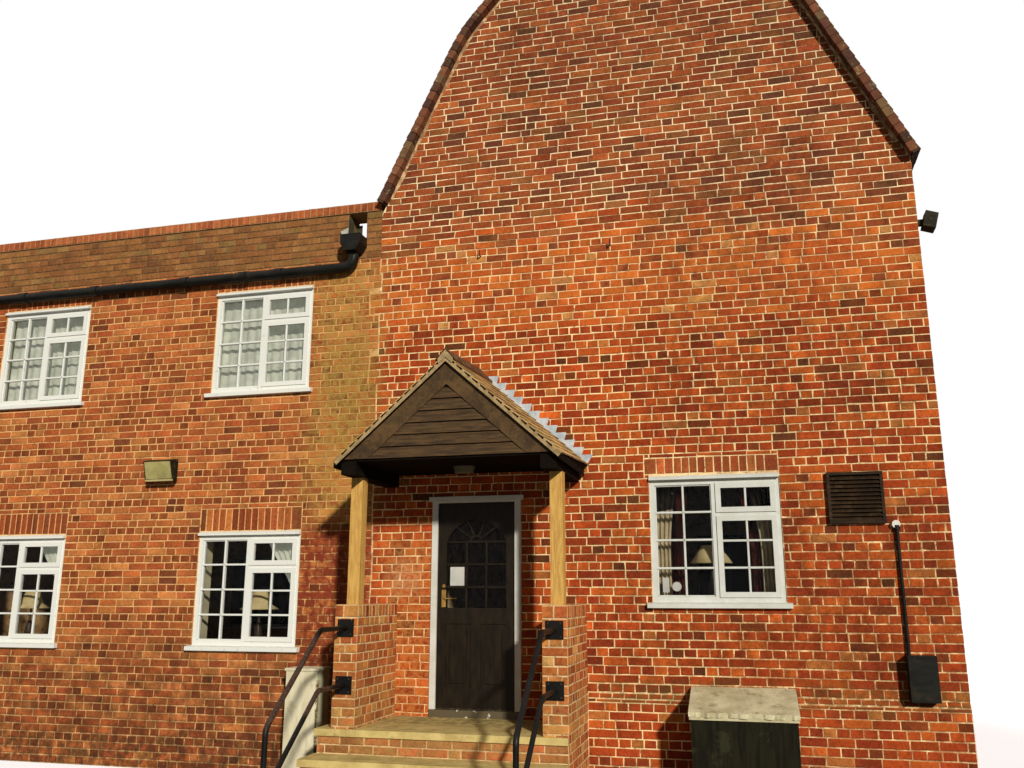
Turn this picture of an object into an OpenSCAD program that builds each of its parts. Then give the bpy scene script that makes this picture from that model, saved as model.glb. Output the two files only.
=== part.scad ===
/* [Main block] */
// Outside width of the gabled main block
main_w = 5450; // [5000:10:7000]
// Outside depth of the main block, front to back
main_d = 8200; // [7000:50:11000]
// Thickness of the main block's brick walls
main_wall_t = 330; // [215:5:450]
// Height at which the tiled slope passes over the outer face of the side wall
eaves_z = 6005; // [5900:5:6300]
// Height of the break between the steep lower slope and the upper slope
break_z = 7960; // [7600:10:8400]
// Pitch of the lower slope in degrees
lower_pitch = 65; // [62:0.5:68]
// Pitch of the upper slope in degrees
upper_pitch = 47; // [40:0.5:52]
// Radius that eases the break between the slopes
break_r = 1900; // [600:50:2400]
// Thickness of the roof covering: boards, battens and tiles
roof_t = 60; // [45:5:110]
// How far the tiles run past the gable faces
verge_out = 110; // [40:5:160]
// How far the tiles run past the right-hand wall
eaves_out = 65; // [55:5:140]
// How far the tiles run past the left-hand wall, behind the wing's parapet
valley_out = 15; // [10:1:17]
// Length of the wall top that is bevelled to the slope
wall_bevel = 100; // [60:5:160]
// Height of the worn plinth along the gable wall
plinth_z = 860; // [700:10:1000]
// How far the plinth stands out from the wall face
plinth_out = 30; // [20:1:50]
// Worn slope on top of the plinth
plinth_slope = 45; // [20:5:80]
// Height of the main floor above the ground
main_floor_z = 600; // [500:5:700]
// Thickness of the main floor
main_floor_t = 200; // [120:5:300]
// Width of a ridge tile's wing, down the slope
ridge_w = 150; // [100:5:200]
// Thickness of the ridge tiles
ridge_t = 22; // [12:1:30]
// Gap left under sloping pieces, where they lie on what carries them
bed = 0.1; // [0.05:0.05:0.5]

/* [Wing] */
// Length of the flat-roofed wing to the left of the main block
wing_w = 5685; // [5400:5:6400]
// Outside depth of the wing
wing_d = 5600; // [4600:50:7200]
// Thickness of the wing's walls
wing_wall_t = 275; // [215:5:330]
// How far the parapet walls stop below the height named for the main eaves
parapet_drop = 100; // [75:5:300]
// Height of the brick-on-edge coping
coping_t = 105; // [60:5:130]
// How far the coping stands out from the wall faces
coping_out = 15; // [5:1:40]
// Gap between the coping's end and the main roof's edge
coping_gap = 5; // [2:1:20]
// How far the flat roof lies below the outlet through the parapet
outlet_step = 43; // [10:1:120]
// Thickness of the flat roof
wing_roof_t = 260; // [150:5:300]
// Top of the ground floor
wing_floor_z = 250; // [150:5:400]
// Top of the first floor
first_floor_z = 3000; // [2900:5:3200]
// Thickness of the first floor
first_floor_t = 240; // [150:5:320]
// Distance between window centres
bay_w = 2900; // [2500:5:3100]
// Distance from the main block to the centre of the nearest window
first_bay = 1392; // [1250:1:1600]
// Width of the outlet through the parapet
scupper_w = 214; // [150:1:300]
// Height of the outlet through the parapet
scupper_h = 302; // [150:1:340]
// Distance from the outlet to the main block
scupper_off = 184; // [120:1:400]

/* [Windows] */
// Outside width of a window frame
win_w = 1195; // [900:5:1300]
// Outside height of a window frame, between the sill and the head drip
win_h = 1127; // [900:1:1200]
// Width of the frame members as seen from the front
frame_face = 48; // [40:1:70]
// Depth of the frame members, front to back
frame_d = 75; // [60:1:100]
// Width of the members of an opening light
sash_face = 40; // [30:1:55]
// How far an opening light stands in front of the frame
sash_proud = 12; // [6:1:18]
// Depth of an opening light
sash_d = 40; // [30:1:50]
// Share of the height that the fanlight takes
fan_h = 330; // [250:5:450]
// Height of the sill
sill_t = 55; // [40:1:70]
// How far the sill runs past the frame on either side
sill_side = 48; // [10:1:60]
// How far the sill stands out from the wall face
sill_out = 55; // [40:1:90]
// Fall of the sill's top from the frame to its nose
sill_fall = 14; // [6:1:25]
// Height of the drip board over the frame
drip_t = 42; // [30:1:60]
// How far the drip board stands out from the wall face
drip_out = 38; // [25:1:60]
// Setback of the frame's front from the wall face
frame_set = 10; // [0:1:60]
// Thickness of the window glass
glass_t = 6; // [4:1:10]
// Depth of the groove that holds the glass
glass_in = 8; // [4:1:12]
// Distance of the front window's centre from the gable's centre line
front_win_x = 711; // [500:1:1400]
// Height of the bottom of the main block's window frames
main_win_z = 1676; // [1500:1:1800]
// Height of the bottom of the wing's lower window frames
wing_low_z = 1229; // [1000:1:1400]
// Height of the bottom of the wing's upper window frames
wing_high_z = 3931; // [3700:1:4100]
// Distance of the first side window's centre from the front
side_win_y = 2700; // [1800:50:3200]
// Distance between the side windows' centres
side_win_gap = 2900; // [2000:50:3600]
// Distance of the wing's end windows from the front
end_win_y = 2800; // [1600:50:3600]

/* [Door] */
// Distance of the door's centre line from the gable's centre line
door_x = -1607; // [-1700:1:-1500]
// Width of the door leaf
leaf_w = 811; // [700:1:850]
// Height of the door leaf
leaf_h = 1975; // [1850:1:2040]
// Thickness of the door leaf
leaf_t = 44; // [38:1:60]
// Running gap round the door leaf
leaf_gap = 5; // [5:0.5:8]
// Height of the walling over the door frame, up to the course where the gable's masonry begins
over_door = 320; // [200:10:600]
// Width of the door frame's posts
jamb_face = 47; // [38:1:65]
// Width of the stop that the leaf closes against
stop_w = 14; // [8:1:18]
// How far the door frame stands in front of the wall face
jamb_out = 18; // [0:1:25]
// Setback of the leaf from the front of its frame
leaf_set = 28; // [20:1:50]
// Height of the threshold above the landing
threshold_h = 67; // [40:1:90]
// Height of the head board over the door frame
head_board_h = 47; // [35:1:70]
// How far the head board runs past the frame on either side
head_board_side = 31; // [15:1:60]
// Thickness of the head board
head_board_t = 22; // [15:1:40]
// Width of the stiles and of the top rail
stile_w = 100; // [80:1:120]
// Height of the bottom rail
bottom_rail = 197; // [150:1:240]
// Height of the lower panels
panel_h = 595; // [450:5:650]
// Height of the lock rail
lock_rail = 150; // [120:1:200]
// Width of the muntin between the lower panels
muntin_w = 103; // [70:1:130]
// Depth of the sinking round the lower panels
panel_sink = 12; // [6:1:16]
// Width of the sinking round the raised field
panel_margin = 42; // [25:1:60]
// Height of the straight sides of the glazed opening
glaze_h = 637; // [500:1:700]
// Rise of the arch over the glazed opening
glaze_rise = 218; // [120:1:260]
// Thickness of the door's glass
door_glass_t = 6; // [4:1:8]
// Radius of the hinge knuckles
knuckle_r = 8; // [6:0.5:10]
// Radius of the hinge pins
pin_r = 3.5; // [2.5:0.5:4]
// Running gap round the hinge pins
pin_gap = 0.3; // [0.2:0.1:0.5]
// Gap between the knuckles and the leaf's face
knuckle_off = 1; // [0.5:0.1:1.5]
// Height of a hinge
hinge_h = 100; // [75:1:125]
// Distance of the outer hinges' centres from the leaf's ends
hinge_end = 180; // [150:5:300]
// Thickness of the hinge flaps
flap_t = 3; // [2:0.5:4]
// Width of the hinge flaps
flap_w = 32; // [25:1:40]
// Height of the lever above the leaf's bottom
lever_z = 1032; // [900:1:1150]
// Length of the lever
lever_l = 105; // [80:1:130]
// Radius of the lever
lever_r = 8; // [6:0.5:10]
// Height of the lever's plate
plate_h = 165; // [120:1:220]
// Width of the lever's plate
plate_w = 44; // [35:1:55]
// Thickness of the lever's plate
plate_t = 5; // [3:0.5:8]
// Distance of the lever's spindle from the leaf's edge
spindle_in = 75; // [60:1:85]

/* [Porch] */
// Distance of the porch's centre line from the gable's centre line
porch_x = -1575; // [-1600:1:-1550]
// Half the width across the outer faces of the dwarf walls
porch_half = 1060; // [1000:5:1100]
// Thickness of the dwarf walls
dwarf_t = 215; // [200:5:240]
// How far the dwarf walls stand out from the gable
dwarf_d = 955; // [800:5:1100]
// Top of the dwarf walls
dwarf_z = 1652; // [1500:1:1800]
// Width and depth of the timber posts
post_w = 115; // [90:1:150]
// Distance of the posts' centres from the gable
post_y = 780; // [650:5:850]
// Top of the posts
post_z = 2812; // [2700:1:2950]
// Width of the boxed eaves over the posts
plate_box_w = 145; // [125:1:180]
// Height of the boxed eaves
plate_box_h = 138; // [100:1:180]
// How far the porch's gable face stands out from the gable
porch_out = 1100; // [1050:5:1250]
// Pitch of the porch roof in degrees
porch_pitch = 41.5; // [38:0.5:45]
// Top of the bargeboards at the ridge
barge_apex_z = 3808; // [3760:1:3850]
// Width of the bargeboards
barge_w = 150; // [110:1:190]
// Thickness of the bargeboards
barge_t = 25; // [18:1:40]
// Thickness of the boarding in the porch's gable
panel_t = 20; // [15:1:30]
// Thickness of the tiled covering
porch_roof_t = 45; // [30:1:60]
// Half the width across the porch's eaves
porch_eaves_half = 1062; // [1010:1:1075]
// How far the tiles run past the bargeboards
porch_verge = 30; // [10:1:60]
// Thickness of the porch's ceiling boards
ceiling_t = 20; // [12:1:30]
// Width of a porch ridge tile's wing, down the slope
porch_ridge_w = 95; // [60:1:130]
// Height of one brick course
course_h = 77; // [70:0.5:80]
// Height of the lead above the tiles at the foot of each step
lead_min = 172; // [60:1:200]
// Thickness of the lead
lead_t = 12; // [8:0.5:18]
// Length of the oval lamp
lamp_l = 210; // [160:5:260]
// Width of the oval lamp
lamp_w = 110; // [90:5:140]
// Depth of the oval lamp
lamp_d = 62; // [40:1:80]
// Distance of the lamp from the gable
lamp_y = 520; // [350:5:600]

/* [Steps] */
// How far the landing stands out from the gable
landing_d = 990; // [970:5:1150]
// How far the landing runs past the left dwarf wall
landing_side = 140; // [60:5:200]
// Rise from one tread to the next
step_rise = 205; // [180:1:210]
// Going of each tread
step_go = 300; // [250:5:400]
// Thickness of the stone treads
tread_t = 58; // [40:1:75]
// How far a tread's nose runs past the brickwork
nosing = 22; // [15:1:40]
// Outside radius of the handrail tube
rail_r = 22; // [16:1:28]
// Radius of the handrails' bends
rail_bend = 110; // [80:5:140]
// Height of the upper rail's plate above the ground
rail_high = 1452; // [1350:1:1560]
// Height of the lower rail's plate above the ground
rail_low = 964; // [900:1:1050]
// Level run of the rails in front of the dwarf walls
rail_level = 505; // [420:5:600]
// Fall of the rails in degrees
rail_fall = 39; // [34:0.5:43]
// Distance of the rails' foot from the gable
rail_foot = 2290; // [2230:5:2400]
// Width and height of the rails' wall plates
rail_plate = 152; // [110:1:170]
// Thickness of the rails' wall plates
rail_plate_t = 14; // [10:1:20]

/* [Fittings] */
// Width of the louvred vent
vent_w = 480; // [300:5:600]
// Height of the louvred vent
vent_h = 462; // [300:1:600]
// Height of the vent's bottom
vent_z = 2361; // [2250:1:2450]
// Distance of the vent's centre from the gable's centre line
vent_x = 1960; // [1800:5:2000]
// Width of the vent's border
vent_rim = 26; // [18:1:40]
// How far the vent stands out from the wall
vent_out = 45; // [35:1:60]
// Number of slats in the vent
slats = 11; // [7:1:12]
// Thickness of a slat
slat_t = 8; // [5:1:10]
// Slope of the slats in degrees
slat_pitch = 42; // [30:1:50]
// Outside radius of the rainwater pipe
pipe_r = 55; // [40:1:60]
// Height of the pipe along the wing
pipe_z = 5240; // [5180:5:5255]
// Distance of the pipe's centre from the wall
pipe_off = 78; // [72:1:95]
// Radius of the collars on the pipe
collar_r = 64; // [61:1:70]
// Length of the collars
collar_l = 90; // [50:5:120]
// Radius of the pipe's bends
pipe_bend = 110; // [90:5:150]
// Distance of the downpipe's centre from the wing's end
pipe_end = 330; // [150:10:650]
// Width of the rainwater head
head_w = 230; // [180:5:280]
// Height of the rainwater head
head_h = 190; // [150:5:220]
// How far the rainwater head stands out
head_out = 200; // [160:5:240]
// Extra width of the rainwater head's foot over its pipe
head_foot = 20; // [10:1:40]
// Share of the rainwater head's height at which it reaches its full width
head_waist = 0.45; // [0.3:0.05:0.7]
// Drop from the outlet through the parapet to the rim of the rainwater head
head_drop = 20; // [5:1:60]
// Wall thickness of the rainwater head
head_t = 6; // [4:1:10]
// Width of the floodlight on the wing
flood_w = 348; // [250:1:400]
// Height of the floodlight
flood_h = 250; // [180:1:320]
// How far the floodlight stands out
flood_out = 190; // [140:5:260]
// Height of the floodlight's bottom
flood_z = 2944; // [2850:1:3150]
// Distance of the floodlight's centre from the main block
flood_x = 2466; // [2300:1:2600]
// How far a floodlight's bracket stands out from its wall
arm_out = 60; // [45:5:80]
// Height of the bracket's foot over the floodlight's bottom
arm_low = 40; // [30:5:60]
// Height of the bracket
arm_h = 120; // [80:5:140]
// Drop of the floodlight's top towards its front
flood_fall = 30; // [20:5:50]
// How far the floodlight's bottom edge lies behind its front
flood_rake = 70; // [50:5:90]
// Width and height of the small floodlight
small_w = 150; // [120:5:180]
// Height of the small floodlight's foot
small_z = 5130; // [4900:5:5300]
// Distance of the small floodlight from the front face
small_y = 140; // [120:5:200]
// Width of the black housing beside the steps
housing_w = 865; // [700:5:950]
// Depth of the housing
housing_d = 550; // [400:5:650]
// Height of the housing's back under its lid
housing_back = 875; // [860:5:950]
// Height of the housing's front under its lid
housing_front = 725; // [600:5:800]
// Distance of the housing's centre from the gable's centre line
housing_x = 880; // [700:5:1000]
// Thickness of the housing's lid
lid_t = 55; // [30:1:70]
// How far the lid runs past the housing
lid_out = 12; // [5:1:30]
// Width of the painted cupboard
cupboard_w = 335; // [280:5:400]
// Depth of the painted cupboard
cupboard_d = 270; // [200:5:320]
// Height of the painted cupboard
cupboard_h = 1040; // [900:5:1150]
// Distance of the cupboard's right side from the main block
cupboard_x = 395; // [360:5:500]
// Thickness of the cupboard's cap
cap_t = 24; // [15:1:40]
// How far the cap runs past the cupboard
cap_out = 12; // [5:1:30]
// Radius of the thin pipe at the gable's right-hand end
thin_r = 14; // [10:1:20]
// Distance of the thin pipe from the gable's centre line
thin_x = 2280; // [2250:5:2400]
// Top of the thin pipe
thin_z = 2330; // [2100:5:2400]
// Bottom of the thin pipe, where it enters its box
thin_foot = 1239; // [1150:1:1350]
// Width of the small wall box
box_w = 230; // [160:5:300]
// How far the small wall box stands out from the wall
box_out = 130; // [90:5:180]

/* [Hidden] */
$fn = 32;

half_w = main_w / 2;
wing_l = -half_w - wing_w;

// Roof profile: a steep slope, an eased break and a flatter slope to the ridge
break_x = half_w - (break_z - eaves_z) / tan(lower_pitch);
bend_half = (lower_pitch - upper_pitch) / 2;
bend_mid = (lower_pitch + upper_pitch) / 2;
arc_x = break_x - sin(bend_mid) * break_r / cos(bend_half);
arc_z = break_z - cos(bend_mid) * break_r / cos(bend_half);
arc_steps = 5;
function arc_point(depth, pitch) =
    [arc_x + (break_r - depth) * sin(pitch), arc_z + (break_r - depth) * cos(pitch)];
function arc_points(depth) =
    [for (i = [0:arc_steps]) arc_point(depth, lower_pitch - i * 2 * bend_half / arc_steps)];
function slope_z(depth, x) = arc_point(depth, lower_pitch)[1]
    - (x - arc_point(depth, lower_pitch)[0]) * tan(lower_pitch);
function ridge_z(depth) = arc_point(depth, upper_pitch)[1]
    + arc_point(depth, upper_pitch)[0] * tan(upper_pitch);
function eaves_end(depth, past) = [half_w + past - depth * sin(lower_pitch),
    slope_z(0, half_w + past) - depth * cos(lower_pitch)];
function mirrored(points) = [for (i = [len(points) - 1:-1:0]) [-points[i][0], points[i][1]]];
roof_bed = roof_t + bed;
wall_top_z = slope_z(roof_bed, half_w);
gable_line = concat([[half_w, wall_top_z]], arc_points(roof_bed), [[0, ridge_z(roof_bed)]]);

// Wing
parapet_z = eaves_z - parapet_drop;
scupper_z = parapet_z - scupper_h;
scupper_r = -half_w - scupper_off;
scupper_l = scupper_r - scupper_w;
scupper_x = (scupper_l + scupper_r) / 2;
wing_roof_z = scupper_z - outlet_step;
wing_bays = [0, 1];

// Windows as [x, y, z, turn], each facing its own -Y before the turn
function bay_x(i) = -half_w - first_bay - i * bay_w;
front_places = concat([[front_win_x, 0, main_win_z, 0]],
    [for (i = wing_bays) for (z = [wing_low_z, wing_high_z]) [bay_x(i), 0, z, 0]]);
rear_places = concat(
    [for (i = wing_bays) for (z = [wing_low_z, wing_high_z]) [bay_x(i), wing_d, z, 180]],
    [for (z = [wing_low_z, wing_high_z]) [wing_l, end_win_y, z, -90]],
    [[front_win_x, main_d, main_win_z, 180]],
    [for (i = [0, 1]) [half_w, side_win_y + i * side_win_gap, main_win_z, 90]]);
win_half = win_w / 2;
light_w = (win_w - 3 * frame_face) / 2;
light_l = -win_half + frame_face;
light_r = frame_face / 2;
low_h = win_h - fan_h - 1.5 * frame_face;
fan_z = win_h - fan_h + 0.5 * frame_face;
fan_light_h = fan_h - 1.5 * frame_face;
sash_lap = 8;
fixed_glass_y = frame_set + frame_d / 2;
sash_glass_y = frame_set - sash_proud + sash_d / 2;

// Door
frame_w = leaf_w + 2 * leaf_gap + 2 * jamb_face;
door_l = door_x - frame_w / 2;
door_r = door_x + frame_w / 2;
leaf_l = door_x - leaf_w / 2;
leaf_r = door_x + leaf_w / 2;
leaf_z = main_floor_z + threshold_h + leaf_gap;
leaf_top = leaf_z + leaf_h;
frame_top = leaf_top + leaf_gap + jamb_face;
split_z = frame_top + over_door;
leaf_y = leaf_set - jamb_out;
leaf_back = leaf_y + leaf_t;
pin_x = leaf_r + leaf_gap / 2;
pin_y = leaf_back + knuckle_r + knuckle_off;
hinge_zs = [leaf_z + hinge_end, leaf_z + leaf_h / 2, leaf_top - hinge_end];
knuckle_h = hinge_h / 3;
knuckle_play = 0.5;
glaze_w = leaf_w - 2 * stile_w;
glaze_z = leaf_z + bottom_rail + panel_h + lock_rail;
door_glass_y = leaf_y + (leaf_t - door_glass_t) / 2;
panel_w = (glaze_w - muntin_w) / 2;
panel_rise = 5;

// Porch
inner_half = porch_half - dwarf_t;
post_x = porch_half - dwarf_t / 2;
box_outer = post_x + post_w / 2;
box_inner = box_outer - plate_box_w;
soffit_z = post_z + plate_box_h;
panel_y = porch_out - barge_t;
porch_tan = tan(porch_pitch);
porch_cos = cos(porch_pitch);
tiles_apex = barge_apex_z + porch_roof_t / porch_cos;
function under_z(x) = barge_apex_z - x * porch_tan;
function tiles_z(x) = tiles_apex - x * porch_tan;
function soffit_x(z) = (barge_apex_z - z) / porch_tan;

// Steps and handrails
base_front = landing_d - nosing;
step_left = -porch_half - landing_side;
steps_n = 2;
rail_drop = rail_foot - dwarf_d - rail_level;
rail_start = dwarf_d + rail_plate_t;

// Fittings
lid_fall = (housing_back - housing_front) / housing_d;
head_z = scupper_z - head_drop - head_h;
pipe_end_x = wing_l + pipe_end;
shoe_z = 120;
collars = [1190, 1640, 2390, 3600, 4600];

module span(x, y, z) {
    translate([x[0], y[0], z[0]])
        cube([x[1] - x[0], y[1] - y[0], z[1] - z[0]]);
}

// Extrudes an outline drawn in x and z from the plane y0 to the plane y1
module upright(y0, y1) {
    translate([0, y1, 0])
        rotate([90, 0, 0])
            linear_extrude(y1 - y0)
                children();
}

// Extrudes an outline drawn in y and z from the plane x0 to the plane x1
module lengthwise(x0, x1) {
    translate([x0, 0, 0])
        rotate([90, 0, 90])
            linear_extrude(x1 - x0)
                children();
}

// An angle brought to between -180 and 180
function half_turn(a) = (a + 540) % 360 - 180;

// A round bar along a flat route, with a bend at each inner point that the straights lap into
module bent_bar(route, r, bend) {
    last = len(route) - 1;
    angles = [for (i = [0:last - 1]) atan2(route[i + 1][1] - route[i][1], route[i + 1][0] - route[i][0])];
    turns = [for (i = [0:last]) i == 0 || i == last ? 0 : half_turn(angles[i] - angles[i - 1])];
    lap = 5;
    bend_more = 0.8;
    trims = [for (t = turns) bend * tan(abs(t) / 2)];
    starts = [for (t = trims) t > 0 ? t - lap : 0];
    for (i = [0:last - 1])
        translate([route[i][0], route[i][1], 0])
            rotate([0, 0, angles[i]])
                translate([starts[i], 0, 0])
                    rotate([0, 90, 0])
                        cylinder(h = norm(route[i + 1] - route[i]) - starts[i] - starts[i + 1], r = r);
    for (i = [1:1:last - 1])
        let (side = turns[i] > 0 ? 1 : -1, a = angles[i - 1])
            translate([route[i][0], route[i][1], 0])
                rotate([0, 0, a])
                    translate([-trims[i], side * bend, 0])
                        rotate([0, 0, side > 0 ? -90 : 90 + turns[i]])
                            rotate_extrude(angle = abs(turns[i]))
                                translate([bend, 0, 0])
                                    circle(r + bend_more);
}

module place(p) {
    translate([p[0], p[1], p[2]])
        rotate([0, 0, p[3]])
            children();
}

// The hole that a window fills: its frame, sill and head drip, through a wall of the given thickness
module window_hole(wall_t) {
    span([-win_half, win_half], [-1, wall_t + 1], [-sill_t, win_h + drip_t]);
}

// Half of the roof covering between two faces of its profile, on the right-hand side
module lower_slope(past) {
    a = arc_point(0, lower_pitch);
    b = arc_point(roof_t, lower_pitch);
    upright(-verge_out, main_d + verge_out)
        polygon([eaves_end(0, past), a, b, eaves_end(roof_t, past)]);
}

module upper_slope() {
    upright(-verge_out, main_d + verge_out)
        polygon(concat(arc_points(0), [[0, ridge_z(0)], [0, ridge_z(roof_t)]],
            [for (i = [arc_steps:-1:0]) arc_points(roof_t)[i]]));
}

module gable_outline(bottom) {
    polygon(concat([[-half_w, bottom], [half_w, bottom]], gable_line,
        [for (i = [0:len(gable_line) - 1]) mirrored(gable_line)[i]]));
}

module front_wall_left() {
    color("firebrick")
        span([-half_w, door_l], [0, main_wall_t], [0, split_z]);
}

// The right-hand part carries the window and the worn plinth
module front_wall_right() {
    color("firebrick") {
        difference() {
            span([door_r, half_w], [0, main_wall_t], [0, split_z]);
            place(front_places[0]) window_hole(main_wall_t);
        }
        lengthwise(porch_x + porch_half, half_w)
            polygon([[0, 0], [-plinth_out, 0], [-plinth_out, plinth_z - plinth_slope], [0, plinth_z]]);
    }
}

// The masonry over the door and the masonry that carries its threshold
module front_wall_at_door() {
    color("firebrick") {
        span([door_l, door_r], [0, main_wall_t], [frame_top, split_z]);
        span([door_l, door_r], [0, main_wall_t], [0, main_floor_z]);
    }
}

module front_gable() {
    color("firebrick")
        upright(0, main_wall_t) gable_outline(split_z);
}

module side_wall() {
    bevel_z = wall_top_z + wall_bevel * tan(lower_pitch);
    upright(main_wall_t, main_d - main_wall_t)
        polygon([[half_w - main_wall_t, 0], [half_w, 0], [half_w, wall_top_z],
            [half_w - wall_bevel, bevel_z], [half_w - main_wall_t, bevel_z]]);
}

module side_walls() {
    color("firebrick") {
        mirror([1, 0, 0]) side_wall();
        difference() {
            side_wall();
            for (p = rear_places)
                if (p[3] == 90) place(p) window_hole(main_wall_t);
        }
    }
}

module back_wall() {
    color("firebrick")
        difference() {
            upright(main_d - main_wall_t, main_d) gable_outline(0);
            for (p = rear_places)
                if (p[1] == main_d) place(p) window_hole(main_wall_t);
        }
}

module roof_lower_slopes() {
    color("sienna") {
        lower_slope(eaves_out);
        mirror([1, 0, 0]) lower_slope(valley_out);
    }
}

module roof_upper_left() {
    color("sienna") mirror([1, 0, 0]) upper_slope();
}

module roof_upper_right() {
    color("sienna") upper_slope();
}

// An angled ridge tile whose two wings lie on the slopes
module ridge_run(apex, pitch, wing, thick, y0, y1) {
    dx = wing * cos(pitch);
    dz = wing * sin(pitch);
    nx = thick * sin(pitch);
    nz = thick * cos(pitch);
    translate([0, 0, apex])
        upright(y0, y1)
            polygon([[0, 0], [dx, -dz], [dx + nx, -dz + nz], [0, thick / cos(pitch)],
                [-dx - nx, -dz + nz], [-dx, -dz]]);
}

module ridge_tiles() {
    color("saddlebrown") {
        ridge_run(ridge_z(0) + bed, upper_pitch, ridge_w, ridge_t, -verge_out, main_d + verge_out);
        translate([porch_x, 0, 0])
            ridge_run(tiles_apex + bed, porch_pitch, porch_ridge_w, ridge_t, -porch_out - porch_verge, 0);
    }
}

// Main floor between the main walls, and the wing's two floors
module floors() {
    color("dimgray") {
        span([-half_w + main_wall_t, half_w - main_wall_t], [main_wall_t, main_d - main_wall_t],
            [main_floor_z - main_floor_t, main_floor_z]);
        wing_slab(wing_floor_z, wing_floor_z);
        wing_slab(first_floor_z, first_floor_t);
    }
}

module wing_front_wall() {
    color("indianred")
        difference() {
            span([wing_l, -half_w], [0, wing_wall_t], [0, scupper_z]);
            for (i = [1:len(front_places) - 1]) place(front_places[i]) window_hole(wing_wall_t);
        }
}

module wing_end_wall() {
    color("indianred")
        difference() {
            span([wing_l, wing_l + wing_wall_t], [wing_wall_t, wing_d - wing_wall_t], [0, parapet_z]);
            for (p = rear_places)
                if (p[3] == -90) place(p) window_hole(wing_wall_t);
        }
}

module wing_back_wall() {
    color("indianred")
        difference() {
            span([wing_l, -half_w], [wing_d - wing_wall_t, wing_d], [0, parapet_z]);
            for (p = rear_places)
                if (p[1] == wing_d) place(p) window_hole(wing_wall_t);
        }
}

module wing_slab(top, thick) {
    span([wing_l + wing_wall_t, -half_w], [wing_wall_t, wing_d - wing_wall_t], [top - thick, top]);
}

module wing_roof() {
    color("dimgray") wing_slab(wing_roof_z, wing_roof_t);
}

// The front parapet in two lengths, with the rainwater outlet between them
module front_parapet() {
    color("indianred") {
        span([wing_l, scupper_l], [0, wing_wall_t], [scupper_z, parapet_z]);
        span([scupper_r, -half_w], [0, wing_wall_t], [scupper_z, parapet_z]);
    }
}

module parapet_coping() {
    x0 = wing_l - coping_out;
    x1 = -half_w - valley_out - coping_gap;
    run = wing_wall_t + 2 * coping_out;
    z = [parapet_z, parapet_z + coping_t];
    color("tomato") {
        span([x0, x1], [-coping_out, run - coping_out], z);
        span([x0, x1], [wing_d + coping_out - run, wing_d + coping_out], z);
        span([x0, x0 + run], [run - coping_out - 1, wing_d + coping_out - run + 1], z);
    }
}

// The ring of an opening light: a lip that laps over the frame, and the body in its opening
module opening_light(w, h) {
    front = frame_set - sash_proud;
    difference() {
        union() {
            span([-sash_lap, w + sash_lap], [front, frame_set], [-sash_lap, h + sash_lap]);
            span([0, w], [front, front + sash_d], [0, h]);
        }
        span([sash_face, w - sash_face], [front - 1, front + sash_d + 1], [sash_face, h - sash_face]);
        light_glass(w, h, sash_face, sash_glass_y);
    }
}

// A sheet of glass whose edges stand in the groove round a light
module light_glass(w, h, border, y) {
    span([border - glass_in, w - border + glass_in], [y - glass_t / 2, y + glass_t / 2],
        [border - glass_in, h - border + glass_in]);
}

// A timber casement window: a fixed light on the left, a casement with a fanlight over it on the right
module casement_window() {
    deep = [frame_set, frame_set + frame_d];
    difference() {
        span([-win_half, win_half], deep, [0, win_h]);
        translate([light_l, 0, frame_face])
            span([0, light_w], [deep[0] - 1, deep[1] + 1], [0, win_h - 2 * frame_face]);
        translate([light_r, 0, frame_face])
            span([0, light_w], [deep[0] - 1, deep[1] + 1], [0, low_h]);
        translate([light_r, 0, fan_z])
            span([0, light_w], [deep[0] - 1, deep[1] + 1], [0, fan_light_h]);
        translate([light_l, 0, frame_face])
            light_glass(light_w, win_h - 2 * frame_face, 0, fixed_glass_y);
    }
    translate([light_r, 0, frame_face]) opening_light(light_w, low_h);
    translate([light_r, 0, fan_z]) opening_light(light_w, fan_light_h);
    lengthwise(-win_half, win_half)
        polygon([[0, -sill_t], [deep[1], -sill_t], [deep[1], 0], [0, 0]]);
    lengthwise(-win_half - sill_side, win_half + sill_side)
        polygon([[-sill_out, -sill_t], [0, -sill_t], [0, -sill_fall / 3], [-sill_out, -sill_fall]]);
    lengthwise(-win_half, win_half)
        polygon([[-drip_out, win_h], [deep[1], win_h], [deep[1], win_h + drip_t], [0, win_h + drip_t],
            [-drip_out, win_h + drip_t / 2]]);
}

module front_windows() {
    color("ivory")
        for (p = front_places) place(p) casement_window();
}

module rear_windows() {
    color("ivory")
        for (p = rear_places) place(p) casement_window();
}

module window_glass() {
    color("lightsteelblue")
        for (p = concat(front_places, rear_places))
            place(p) {
                translate([light_l, 0, frame_face])
                    light_glass(light_w, win_h - 2 * frame_face, 0, fixed_glass_y);
                translate([light_r, 0, frame_face])
                    light_glass(light_w, low_h, sash_face, sash_glass_y);
                translate([light_r, 0, fan_z])
                    light_glass(light_w, fan_light_h, sash_face, sash_glass_y);
            }
}

// Knuckles on the pin's axis; the frame has the end ones and the leaf the middle one
module knuckle(from, to, bore) {
    translate([pin_x, pin_y, from])
        difference() {
            cylinder(h = to - from, r = knuckle_r);
            if (bore > 0)
                translate([0, 0, -1]) cylinder(h = to - from + 2, r = bore);
        }
}

module frame_hinge(z) {
    low = z - hinge_h / 2;
    high = z + hinge_h / 2;
    flap = [leaf_back, leaf_back + flap_t];
    clear = pin_x + knuckle_r + 2 * pin_gap;
    span([clear, pin_x + flap_w], flap, [low, high]);
    for (end = [[low, low + knuckle_h], [high - knuckle_h, high]]) {
        knuckle(end[0], end[1], 0);
        span([pin_x, pin_x + flap_w], flap, end);
    }
    translate([pin_x, pin_y, low]) cylinder(h = hinge_h, r = pin_r);
}

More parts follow.
